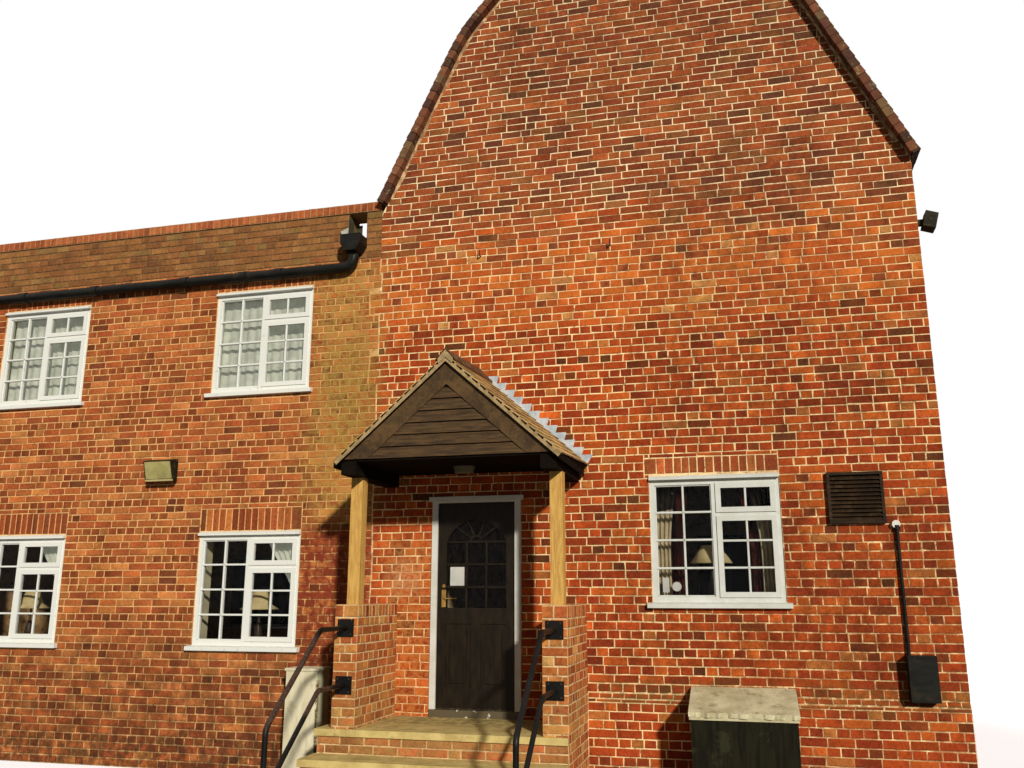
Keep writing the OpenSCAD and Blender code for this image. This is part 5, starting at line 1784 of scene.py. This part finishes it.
@dataclass
class Doorway:
    """The glazed door's bars and fan, its mouldings and the blank card behind its glass."""

    centre: float = -1.607
    left: float = -1.9125
    right: float = -1.3015
    foot: float = 1.614
    spring: float = 2.251
    span: float = 0.6111
    rise: float = 0.218
    glass_y: float = 0.029

    def build(self) -> None:
        """Makes the pieces that ride on the door."""
        face = Face((0, self.glass_y, 0), (1, 0, 0))
        shell = Shell()
        third = (self.right - self.left) / 3
        b = 0.011
        lines = [
            (self.left + k * third - b, self.left + k * third + b, self.foot, self.spring) for k in (1, 2)]
        lines += [(self.left, self.right, z - b, z + b) for z in (1.812, 2.031, 2.251)]
        rows = np.array(lines)
        for way in (1.0, -1.0):
            side = face if way > 0 else Face((0, self.glass_y, 0), (-1, 0, 0))
            l, r = (rows[:, 0], rows[:, 1]) if way > 0 else (-rows[:, 1], -rows[:, 0])
            blocks(shell, side, outlines(l, r, *rows[:, 2:].T), np.full(len(rows), 0.017), 0.004, sunk=0.0)
        self.fan(shell, face)
        self.beads(shell)
        shell.piece("door_glazing_bars", [DOOR_PAINT], "door", "dark_timber")
        card = Shell()
        boxes(card, face, [-1.882, 1.827, -0.0065], [-1.736, 2.008, -0.0035])
        card.piece("door_card", [CARD], "door")

    def fan(self, shell: Shell, face: Face) -> None:
        """Bars that fan out over the springing line to the arch: four spokes and a small half ring.

        A spoke at angle a runs from the ring's radius to the arch, and is a bar of constant width.

        Args:
            shell: Where they are gathered.
            face: The plane of the door's glass.
        """
        radius = (self.span ** 2 / 4 + self.rise ** 2) / (2 * self.rise)
        for angle in np.radians((35.0, 67.0, 113.0, 145.0)):
            way = np.array([math.cos(angle), math.sin(angle)])
            drop = radius - self.rise
            reach = -drop * way[1] + math.sqrt((drop * way[1]) ** 2 - drop ** 2 + radius ** 2)
            along = (way[0], 0.0, way[1])
            up = (-way[1], 0.0, way[0])
            spoke = Face((self.centre, face.origin[1], self.spring), along, up)
            row = outlines(np.array([0.06]), np.array([reach]), np.array([-0.008]), np.array([0.008]))
            blocks(shell, spoke, row, np.full(1, 0.015), 0.003, sunk=0.013)
        turn = np.linspace(0, math.pi, 19)[:, None]
        ring = np.array([(0.052, 0.013), (0.068, 0.013), (0.068, -0.015), (0.052, -0.015)])[None]
        x = self.centre + ring[..., 0] * np.cos(turn)
        z = self.spring + ring[..., 0] * np.sin(turn)
        rows = np.stack([x, self.glass_y + ring[..., 1] + 0 * turn, z], axis=-1)
        strip(shell, rows, closed=True, smooth=False)

    def beads(self, shell: Shell) -> None:
        """Mouldings round the two lower panels, on both faces of the leaf.

        Args:
            shell: Where they are gathered.
        """
        wide, margin, bead = 0.254, 0.042, 0.012
        for y, way in ((0.022, 1), (0.042, -1)):
            face = Face((0, y, 0), (way, 0, 0))
            for left in (self.left, -1.5555):
                l, r, low, high = left + margin, left + wide - margin, 0.911, 1.422
                if way < 0:
                    l, r = -r, -l
                rows = np.array(
                    [
                        (l, r, low, low + bead), (l, r, high - bead, high), (l, l + bead, low, high),
                        (r - bead, r, low, high)])
                blocks(shell, face, outlines(*rows.T), np.full(4, 0.009), 0.005, sunk=0.0)


@dataclass
class Porch:
    """Boards, tiles and mortar of the porch."""

    centre: float = -1.575
    apex: float = 3.808
    tiles_apex: float = 3.8681
    pitch: float = 41.5
    panel_y: float = -1.075
    front: float = -1.134
    back: float = -0.003
    tile: float = 0.165
    gauge: float = 0.1
    half: float = 1.062
    soffit: float = 2.95
    barge: float = 0.15
    swell: float = 0.06

    def weatherboards(self) -> None:
        """Feather-edged boards in the gable: wedges thicker at their foot, cut to the bargeboards' slope."""
        shell = Shell()
        slope = math.tan(math.radians(self.pitch))
        inner = self.apex - self.barge / math.cos(math.radians(self.pitch))
        edges = np.linspace(self.soffit, inner - 0.02, 7)
        # the gaps between boards show the panel behind, whose near-black finish is painted shade
        low, high = edges[:-1], edges[1:] - 0.009
        wide = np.minimum((inner + 0.03 - low) / slope, 0.9)
        narrow = np.maximum((inner + 0.03 - high) / slope, 0.02)
        x = np.stack([-wide, wide, narrow, -narrow] * 2, axis=1) + self.centre
        z = np.stack([low, low, high, high] * 2, axis=1)
        y = np.array([0.0] * 4 + [0.02, 0.02, 0.006, 0.006])
        hexahedra(shell, np.stack([x, self.panel_y - y + 0 * x, z], axis=-1))
        shell.piece("porch_weatherboards", [DARK_BOARD], slot="dark_timber")

    def tiles(self) -> None:
        """Plain tiles on both slopes: wedges in courses from the eaves up, lifted towards the wall."""
        shell = Shell()
        rng = np.random.default_rng(301)
        a = math.radians(self.pitch)
        run = self.half / math.cos(a)
        slope, count = math.tan(a), 8
        for side in (1, -1):
            rows = int((run + self.swell * slope) / self.gauge) + 1
            row, column = (
                m.ravel() for m in np.meshgrid(np.arange(rows), np.arange(-1, count), indexing="ij"))
            start = self.front + (column + 0.5 * (row % 2)) * self.tile
            near, far = (np.clip(edge, self.front, self.back) for edge in (start, start + self.tile))
            keep = far - near > 0.03
            row, near, far = row[keep], near[keep] + 0.001, far[keep] - 0.001
            swell = self.swell * (1 - np.stack([near, far, far, near] * 2, axis=1) / self.front)
            tail = np.maximum(row * self.gauge - 0.004, -0.004)[:, None] + 0 * swell[:, :2]
            head = np.minimum(tail + 0.14, run - 0.003 + swell[:, :2] * slope)
            kept = (head - tail).min(axis=1) > 0.02
            near, far, swell, tail, head = near[kept], far[kept], swell[kept], tail[kept], head[kept]
            lift = 0.014 + np.abs(rng.normal(0, 0.002, len(near)))
            left, right = (near, far) if side > 0 else (-far, -near)
            s = np.stack([left, right, right, left] * 2, axis=1)
            if side < 0:
                swell, tail, head = swell[:, [1, 0, 3, 2] * 2], tail[:, ::-1], head[:, ::-1]
            t = np.column_stack([tail, head[:, ::-1]] * 2)
            out = np.outer(lift, [1, 1, 0, 0] * 2) - (0.012, 0.012, 0.002, 0.002, 0, 0, -0.003, -0.003)
            face = Face(
                (self.centre + side * self.half, 0, self.tiles_apex - self.half * slope), (0, side, 0),
                (-side * math.cos(a), 0, math.sin(a)))
            hexahedra(shell, face.at(s, t, out + swell), tone=PORCH_TILES.pick(len(near), rng))
        shell.piece("porch_tiles", [TILE_FINISH], slot="porch_tile")

    def wedge(
        self, shell: Shell, side: int, outline: np.ndarray, near: float, far: float, mark: int = 0
    ) -> None:
        """Prisms on a slope's edge.

        Args:
            shell: Where they are gathered.
            side: 1 for the right-hand slope and -1 for the left-hand one.
            outline: Four distances up the slope and lifts off it for each, n by 4 by 2.
            near: Their front, as y.
            far: Their back.
            mark: Which finish they take.
        """
        a = math.radians(self.pitch)
        t, lift = (outline[..., k][:, :: -1 if side > 0 else 1] for k in (0, 1))
        x = self.centre + side * (self.half - t * math.cos(a) + lift * math.sin(a))
        z = self.tiles_apex - self.half * math.tan(a) + t * math.sin(a) + lift * math.cos(a)
        rings = [np.stack([x, 0 * x + y, z], axis=-1) for y in (far, near)]
        hexahedra(shell, np.concatenate(rings, axis=1), mark)

    def verges(self) -> None:
        """The front edge's mortar, dark wedges of painted shade in the gaps under its tiles, the ridge's
        bedding and the eaves' filling.
        """
        shell = Shell()
        a = math.radians(self.pitch)
        slope = math.tan(a)
        run, foot = self.half / math.cos(a), self.tiles_apex - self.half * slope
        for side in (1, -1):
            band = [[(0, -0.04), (run - 0.04 * slope, -0.04), (run, 0.0), (0, 0.0)]]
            self.wedge(shell, side, np.array(band), self.front + 0.0005, self.front + 0.005)
            # dark wedges in the gaps under the tiles' tails: painted shade
            gaps = [
                [
                    (t, -0.012), (t + 0.068, -0.008), (t + 0.072, 0.001), (t + 0.004, 0.003)
                ] for t in np.arange(self.gauge, run - 0.06, self.gauge)]
            self.wedge(shell, side, np.array(gaps), self.front - 0.0025, self.front + 0.001, 1)
            top = [
                [
                    (run - 0.1, -0.014), (run - 0.014 * slope, -0.014), (run + 0.04 * slope, 0.04),
                    (run - 0.075, 0.026)]]
            self.wedge(shell, side, np.array(top), self.front - 0.009, -1.05)
            rows = []
            for y, up in ((self.front - 0.016, 0.0), (self.back, self.swell)):
                line = [
                    (run - 0.105, 0.012 + up), (run - 0.1, 0.03 + up),
                    (run + (0.048 + up) * slope, 0.048 + up)]
                rows.append(
                    [
                        (
                            self.centre + side * (self.half - t * math.cos(a) + out * math.sin(a)), y,
                            foot + t * math.sin(a) + out * math.cos(a)) for t,
                        out in line])
            strip(shell, np.array(rows)[:: -side], 2, smooth=False)
            # the eaves' filling takes the near-black painted shade finish
            x, lift = self.centre + side * self.half, self.swell
            edge = [
                (x, self.front, foot), (x, self.back, foot),
                (x + side * lift * math.sin(a), self.back, foot + lift * math.cos(a))]
            shell.add(np.array(edge), np.array([(0, 1, 2)[::side]]), 1)
        shell.piece("porch_verge_mortar", [PORCH_BEDDING, PAINTED_SHADE_BOARD, RIDGE_CLAY], slot="porch_tile")

    def build(self) -> None:
        """Makes the porch's pieces."""
        self.weatherboards()
        self.tiles()
        self.verges()


@dataclass
class Approach:
    """Brickwork of the dwarf walls and risers."""

    centre: float = -1.575
    outer: float = 1.06
    inner: float = 0.845
    front: float = -0.955
    top: float = 1.652
    crown: float = 0.109
    foot: float = 0.004
    course: float = 0.0769
    low_course: float = 0.066
    landing: tuple[float, float] = (-2.753, -0.515)
    landing_y: float = -0.968
    landing_z: float = 0.542
    going: float = 0.3
    rise: float = 0.205
    tall: float = 0.147
    finish: BrickFinish = BrickFinish(
        "porch_brick_face", smear=(226, 194, 144), smear_share=0.6, soot=0.16, lichen=0.15,
        stains=STEP_STAINS)

    def dwarf_wall(self, shell: Shell, side: int, seed: int) -> None:
        """One wall: three faces with bricks on end above, and a row on edge over the top.

        Args:
            shell: Where the bricks are gathered.
            side: -1 for the left-hand wall and 1 for the right-hand one.
            seed: Start of its random numbers.
        """
        toning, crown = Toning((PORCH_BRICK,)), self.top - self.crown
        low_x, high_x = sorted((self.centre + side * self.inner, self.centre + side * self.outer))
        faces = (
            (Face((0, self.front, 0), (1, 0, 0)), low_x - 0.006, high_x + 0.006),
            (Face((high_x, 0, 0), (0, 1, 0)), self.front + 0.002, 0.0),
            (Face((low_x, 0, 0), (0, -1, 0)), 0.0, -self.front - 0.002),
        )
        for part, (face, first, last) in enumerate(faces, seed):
            ends = upright_sides(first, last)
            Brickwork(
                face, self.foot, crown, ends, toning, course=self.course, wave=0.0015, seed=part).lay(shell)
            bond = Bond.HEADERS if part == seed else Bond.ON_EDGE
            Brickwork(
                face, crown, self.top, ends, toning, bond, self.crown, wave=0.0, seed=part + 5).lay(shell)
        top = Face((0, 0, self.top), (0, 1, 0), (-1, 0, 0))
        Brickwork(
            top, -high_x, -low_x, upright_sides(self.front, 0.0), toning, Bond.ON_EDGE,
            self.outer - self.inner, wave=0.0, seed=seed + 8).lay(shell)

    def riser(self, shell: Shell, number: int) -> None:
        """The brickwork under one slab: its front, and its ends where nothing covers them.

        Args:
            shell: Where the bricks are gathered.
            number: 0 for the landing, then 1 and 2 for the steps below it.
        """
        y, high = self.landing_y - self.going * number, self.landing_z - self.rise * number
        left, right = self.landing
        front = Face((0, y, 0), (1, 0, 0))
        Brickwork(
            front, max(high - self.tall, 0.0) + 0.002, high, upright_sides(left - 0.004, right + 0.004),
            Toning((RISERS,)), Bond.MIXED, self.tall / 2 if number < 2 else self.low_course, wave=0.001,
            seed=431 + number).lay(shell)
        ends = [(left, -1, -(y + self.going) if number else 0.0, -y - 0.002)]
        if number:
            ends.append((right, 1, y + 0.002, y + self.going))
        for part, (x, way, first, last) in enumerate(ends):
            Brickwork(
                Face((x, 0, 0), (0, way, 0)), self.foot, high, upright_sides(first, last),
                Toning((PORCH_BRICK,)), Bond.MIXED, self.tall / 2, wave=0.001, seed=441 + 2 * number + part
            ).lay(shell)

    def build(self) -> None:
        """Lays the two dwarf walls and the faces under the landing and steps."""
        walls, risers = Shell(), Shell()
        for number, side in enumerate((-1, 1)):
            self.dwarf_wall(walls, side, 401 + 10 * number)
        walls.piece("dwarf_wall_bricks", [self.finish], slot="porch_brick")
        for number in range(3):
            self.riser(risers, number)
        risers.piece("riser_bricks", [self.finish], slot="porch_brick")


RAGGED = Weathered(
    "ragged_sheet", (214, 206, 170), (178, 168, 132), scale=5.0, fine=50.0, roughness=0.9, relief=0.003,
    spots=Spots((120, 110, 74), 0.5, 8.0))


@dataclass
class WallFittings:
    """Small things on the walls: hooks, bolts, a pipe's cap, a lamp's glass and three loose sheets."""

    rails: tuple[float, float] = (-2.5275, -0.6225)
    plates: tuple[float, float] = (1.452, 0.964)
    lid_x: float = 0.43
    lid_w: float = 0.9
    lid_y: float = -0.566

    def iron(self) -> None:
        """Hooks in the gable and four bolts in each plate of the handrails."""
        shell = Shell()
        for x, z in ((-1.585, 5.25), (-0.199, 5.24)):
            round_bar(shell, (x, 0.005, z), (x, -0.06, z - 0.008), 0.007, 8)
            round_bar(shell, (x, -0.056, z - 0.012), (x + 0.006, -0.066, z + 0.045), 0.006, 8)
        for x in self.rails:
            for z in self.plates:
                for s, t in ((-0.055, -0.055), (0.055, -0.055), (0.055, 0.055), (-0.055, 0.055)):
                    round_bar(shell, (x + s, -0.967, z + t), (x + s, -0.979, z + t), 0.009, 8)
        shell.piece("hooks_and_bolts", [Weathered("dark_iron", (62, 46, 36), (30, 24, 20), scale=30.0)])

    def sheets(self) -> None:
        """Lead and a grey sheet at the parapet's outlet, and a ragged second sheet on the housing's lid."""
        lead, lid = Shell(), Shell()
        flap = Face((-3.145, -0.012, 5.56), (1, 0, 0))
        s, t, out = np.array(
            [(-0.05, 0.0, 0.0), (0.035, -0.01, 0.05), (0.035, 0.165, 0.03), (-0.075, 0.14, 0.0)]).T
        lead.add(flap.at(s, t, out), np.array([(0, 1, 2, 3), (3, 2, 1, 0)]))
        boxes(lead, FRONT, [-3.122, 5.604, -0.12], [-3.119, 5.88, 0.01], 1)
        boxes(lead, FRONT, [-3.116, 5.606, -0.2], [-3.05, 5.84, -0.196], 1)
        lead.piece(
            "outlet_sheets",
            [
                Weathered("outlet_lead", (214, 212, 196), (176, 176, 160), roughness=0.6),
                Weathered("outlet_dark", (78, 80, 60), (54, 54, 40), roughness=0.8)])
        u = np.linspace(0, 1, 41)[:, None]
        x = self.lid_x + self.lid_w * u
        edge = self.lid_y + 0.006 * np.sin(23 * u) + 0.005 * np.sin(57 * u + 1) + 0.003 * np.sin(131 * u)
        ring = (
            (x, edge - 0.004, self.lid_top(edge) - 0.03),
            (x, edge, self.lid_top(edge) + 0.006),
            (x, 0 * x - 0.004, self.lid_top(0 * x - 0.004) + 0.008),
        )
        strip(lid, np.stack([np.concatenate(line, axis=1) for line in ring]), smooth=False)
        lid.piece("housing_lid_top", [RAGGED])

    def lid_top(self, y: np.ndarray) -> np.ndarray:
        """Height of the housing's sloping lid at a depth."""
        return 0.93 + y * (0.15 / 0.55)

    def lamps(self) -> None:
        """The glass of the wing's floodlight, its pale lower edge and the cap of the wall pipe."""
        shell = Shell()
        long = math.hypot(0.07, 0.22)
        face = Face((-5.191, -0.12, 2.944), (1, 0, 0), (0, -0.07 / long, 0.22 / long))
        boxes(shell, face, [-0.16, 0.03, -0.002], [0.16, long - 0.012, 0.004])
        boxes(shell, face, [-0.172, 0.004, -0.002], [0.172, 0.024, 0.006], 1)
        round_bar(shell, (2.275, 0.0, 2.349), (2.275, -0.046, 2.349), 0.035, 20, 2)
        shell.piece(
            "lamp_glass_and_pipe_cap",
            [
                Weathered("floodlight_glass", (182, 172, 112), (150, 142, 90), roughness=0.5, specular=0.1),
                Weathered("floodlight_rim", (206, 190, 136), (170, 154, 106)),
                Weathered("pipe_cap_white", (232, 230, 220), (214, 212, 200))])

    def build(self) -> None:
        """Makes the fittings."""
        self.iron()
        self.sheets()
        self.lamps()


def dress(nodes: dict[str, bpy.types.Object]) -> None:
    """Gives every CAD node its finish.

    Args:
        nodes: The frame's nodes by name.
    """
    main_room = ((-2.394, 2.394, 0.331, 7.869, 9.6),)
    wing_room = ((-8.134, -2.726, 0.276, 5.324, 5.55),)
    main_reveals = tuple(w.reveal(0.332) for w in FRONT_WINDOWS[:1])
    wing_reveals = tuple(w.reveal(0.277) for w in FRONT_WINDOWS[1:])
    main = MortarFinish(
        "gable_mortar", (252, 220, 164), (255, 230, 184), rooms=main_room, reveals=main_reveals,
        stains=FRONT_STAINS + LOW_JOINTS)
    wing = MortarFinish(
        "wing_mortar", (230, 182, 122), (222, 174, 116), cap_z=5.345, rooms=wing_room, reveals=wing_reveals,
        stains=FRONT_STAINS)
    porch = MortarFinish("porch_mortar", (226, 194, 144), (214, 182, 136), stains=STEP_STAINS)
    tile = Weathered("roof_tile_body", (92, 62, 48), (68, 46, 38), roughness=0.9, relief=0.003)
    oak = Weathered(
        "golden_oak", (216, 172, 92), (182, 136, 68), scale=7.0, stretch=(9.0, 9.0, 0.8), fine=30.0,
        relief=0.0016, spots=Spots((122, 84, 44), 0.45, 8.0, 0.66))
    slab = Weathered(
        "landing_slab", (216, 194, 128), (182, 160, 100), scale=5.0, fine=120.0, roughness=0.9,
        relief=0.0025, spots=Spots((124, 116, 70), 0.45, 6.0), specular=0.06,
        stains=(Stain((112, 98, 66), -2.8, -0.4, 0.5, 0.7, 0.2, 1.0, 5.0, -0.55),))
    lead = Weathered(
        "weathered_lead", (198, 206, 210), (154, 166, 176), scale=9.0, metallic=0.1, relief=0.002,
        spots=Spots((206, 208, 204), 0.5, 12.0))
    brass = Weathered(
        "worn_brass", (206, 162, 84), (150, 112, 56), scale=20.0, roughness=0.3, metallic=1.0, relief=0.0003)
    black_pipe = Weathered(
        "black_pipe", (28, 27, 22), (15, 14, 11), stretch=(0.6, 1.0, 3.0), roughness=0.42, relief=0.0006,
        spots=Spots((56, 48, 34), 0.4, 6.0), specular=0.12)
    rail = Weathered(
        "black_rail_paint", (22, 20, 17), (12, 11, 9), roughness=0.42, relief=0.0006,
        spots=Spots((66, 54, 44), 0.4, 26.0, 0.68), specular=0.15,
        stains=(Stain((132, 98, 80), -3.2, -2.3, 0.8, 1.4, 0.03, 0.4, 30.0, far=-1.3),))
    vent = Weathered(
        "vent_plastic", (56, 40, 25), (34, 25, 16), roughness=0.6, relief=0.0004,
        spots=Spots((92, 76, 52), 0.25, 12.0), specular=0.08)
    flood = Weathered(
        "floodlight_coat", (52, 48, 34), (28, 26, 19), roughness=0.65, relief=0.001,
        spots=Spots((124, 116, 70), 0.4, 16.0), specular=0.08)
    housing = Weathered(
        "housing_paint", (36, 34, 21), (18, 17, 11), scale=5.0, stretch=(7.0, 7.0, 0.7), roughness=0.75,
        relief=0.001, spots=Spots((66, 66, 42), 0.35, 5.0, 0.62), specular=0.06)
    lid = Weathered(
        "housing_lid_sheet", (206, 196, 158), (168, 158, 122), scale=4.0, fine=60.0, roughness=0.9,
        relief=0.003, spots=Spots((104, 98, 64), 0.45, 7.0), specular=0.06)
    cupboard = Weathered(
        "cupboard_cream", (228, 220, 188), (206, 196, 162), scale=4.0, stretch=(4, 4, 1), relief=0.0008,
        spots=Spots((150, 138, 100), 0.4, 6.0, 0.62),
        stains=(
            Stain((198, 202, 166), -3.135, -2.9, 0, 1.7, 0.01, 3.0, 9.0),
            Stain((126, 92, 56), -3.13, -2.9, 0.1, 0.93, 0.004, 2.0, 9.0, far=-0.29)))
    frame_paint = Weathered(
        "door_frame_paint", (214, 214, 206), (198, 196, 184), scale=4.0, fine=60.0, roughness=0.5,
        relief=0.0004, spots=Spots((186, 176, 150), 0.4, 11.0, 0.66),
        stains=(Stain((90, 80, 60), -2.5, -0.8, 0.3, 0.668, 0.004, 40.0),))
    # the lamp's diffuser is darkened: painted shade under the porch roof
    diffuser_painted_shade = Weathered("lamp_diffuser", (132, 124, 94), (108, 100, 76), roughness=0.5, specular=0.1)
    felt = Weathered(
        "roof_felt", (92, 94, 92), (66, 68, 66), scale=3.0, fine=300.0, roughness=0.95, relief=0.002,
        spots=Spots((104, 110, 72), 0.5, 3.0))
    screed = Weathered(
        "floor_screed", (124, 116, 102), (98, 92, 80), scale=2.0, roughness=0.85, relief=0.001)
    glass = GlassFinish("window_pane")
    plan = {
        main: (
            "front_wall_left", "front_wall_right", "front_wall_at_door", "front_gable", "side_walls",
            "back_wall"),
        wing: ("wing_front_wall", "wing_end_wall", "wing_back_wall", "front_parapet"),
        porch: ("dwarf_walls", "step_brickwork"),
        MortarFinish("coping_mortar", (186, 146, 100), (176, 136, 92), gaps=0.4): ("parapet_coping",),
        tile: ("roof_lower_slopes", "roof_upper_left", "roof_upper_right"),
        RIDGE_CLAY: ("ridge_tiles",),
        screed: ("floors",),
        felt: ("wing_roof",),
        WHITE_PAINT: ("front_windows", "rear_windows"),
        frame_paint: ("door_frame",),
        glass: ("window_glass", "door_glass"),
        DOOR_PAINT: ("door_leaf",),
        brass: ("door_handle",),
        slab: ("tread_slabs",),
        oak: ("porch_posts",),
        BARGE: ("porch_bargeboards",),
        # painted shade: near-black under the porch roof and behind the weatherboards
        PAINTED_SHADE_BOARD: (
            "porch_eaves_boxes", "porch_ceiling", "porch_gable_boards", "porch_roof_left",
            "porch_roof_right"),
        lead: ("porch_flashing",),
        diffuser_painted_shade: ("porch_lamp",),
        rail: ("handrails",),
        vent: ("louvred_vent",),
        black_pipe: ("rainwater_head", "rainwater_pipe", "wall_pipe"),
        flood: ("floodlights",),
        housing: ("housing_body",),
        lid: ("housing_lid",),
        cupboard: ("service_cupboard",),
    }
    given = set()
    for finish, names in plan.items():
        for name in names:
            mesh = nodes[name].data
            mesh.materials.clear()
            mesh.materials.append(finish.material())
            given.add(name)
    LOG.info("dressed %d CAD nodes, left %s", len(given), sorted(set(nodes) - given))


@dataclass
class Setting:
    """Floor, sky, sun and camera."""

    sun: Triple = (-0.49, 0.79, -0.37)
    fill: Triple = (0.5, -0.75, -0.4)
    sun_strength: float = 3.75
    sky_strength: float = 0.11
    eye: Triple = (0.9897, -8.6428, 1.75)
    pitch: float = 103.14
    heading: float = 14.47
    lens: float = 31.574

    def floor(self) -> None:
        """A pale floor that looks white to the camera and keeps the shadow."""
        shell = Shell()
        boxes(shell, Face((0, 0, 0), (1, 0, 0), (0, 1, 0)), [-60, -60, -0.02], [60, 60, -0.001])
        graph = Graph(bpy.data.materials.new("pale_floor"))
        paths = graph.node("ShaderNodeLightPath", output="Is Camera Ray")
        plain = graph.node(
            "ShaderNodeBsdfPrincipled", None,
            {"Base Color": (0.2, 0.2, 0.19, 1), "Roughness": 0.95, "IOR": 1.2})
        bright = graph.node("ShaderNodeBsdfDiffuse", None, {"Color": (0.92, 0.95, 1, 1)})
        glow = graph.node("ShaderNodeEmission", None, {"Color": (1, 1, 1, 1), "Strength": 0.42})
        lit = graph.node("ShaderNodeAddShader", None, {0: bright, 1: glow})
        graph.end(graph.node("ShaderNodeMixShader", None, {0: paths, 1: plain, 2: lit}))
        mesh = bpy.data.meshes.new("floor")
        mesh.from_pydata(shell.points[0].tolist(), [], shell.faces[0].tolist())
        floor = bpy.data.objects.new("floor", mesh)
        mesh.materials.append(graph.owner)
        bpy.context.scene.collection.objects.link(floor)
        floor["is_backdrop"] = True

    def sky(self) -> None:
        """A plain world: soft grey light on the object, white to the camera."""
        graph = Graph(bpy.data.worlds.new("sky"))
        rays = [
            graph.node(
                "ShaderNodeLightPath", output=f"Is {ray} Ray") for ray in ("Camera", "Glossy", "Transmission")
        ]
        light = graph.node(
            "ShaderNodeBackground", None, {"Color": (0.96, 0.98, 1.0, 1), "Strength": self.sky_strength})
        white = graph.node("ShaderNodeBackground", None, {"Color": (1, 1, 1, 1)})
        shown = rays[0].most(rays[1]).most(rays[2])
        graph.end(graph.node("ShaderNodeMixShader", None, {0: shown, 1: light, 2: white}), "World")
        bpy.context.scene.world = graph.owner

    def lamp(self, name: str, way: Triple, strength: float, angle: float, shade: Triple) -> None:
        """A sun that shines along a direction: its heading is atan2(y, x) and its fall acos(-z).

        Args:
            name: The lamp's name.
            way: The direction.
            strength: Its strength.
            angle: How wide it looks, in degrees.
            shade: Its linear colour.
        """
        sun = bpy.data.lights.new(name, "SUN")
        sun.energy, sun.angle, sun.color = strength, math.radians(angle), shade
        lamp = bpy.data.objects.new(name, sun)
        x, y, z = np.array(way) / np.linalg.norm(way)
        lamp.rotation_euler = (0.0, -math.acos(-z), math.atan2(y, x))
        bpy.context.scene.collection.objects.link(lamp)

    def camera(self) -> None:
        """The photograph's camera, at eye height in front of the porch."""
        data = bpy.data.cameras.new("camera")
        data.lens = self.lens
        data.clip_end = 500.0
        made = bpy.data.objects.new("camera", data)
        made.location = self.eye
        made.rotation_euler = (math.radians(self.pitch), 0.0, math.radians(self.heading))
        bpy.context.scene.collection.objects.link(made)
        bpy.context.scene.camera = made

    def build(self) -> None:
        """Sets up the scene round the object."""
        self.floor()
        self.sky()
        self.lamp("sun", self.sun, self.sun_strength, 3.0, (1.0, 0.95, 0.86))
        self.lamp("fill", self.fill, 1.9, 30.0, (0.94, 0.97, 1.0))
        self.camera()
        bpy.context.scene.view_settings.view_transform = "Standard"


def corners() -> list[list[float]]:
    """The shown object's lowest and highest corners as plain lists."""
    return [[float(c) for c in corner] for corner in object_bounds()]


def main() -> None:
    """Loads the frame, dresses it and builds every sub-assembly."""
    logging.basicConfig(level=logging.INFO, format="%(message)s", stream=sys.stdout)
    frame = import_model()
    dress(frame["nodes"])
    for part in (
        Walls(), Coping(), TiledRoof(), Windows(), Doorway(), Porch(), Approach(), WallFittings(), Setting()
    ):
        part.build()
        LOG.info("built %s", type(part).__name__)
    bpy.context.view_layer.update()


if __name__ == "__main__":
    main()
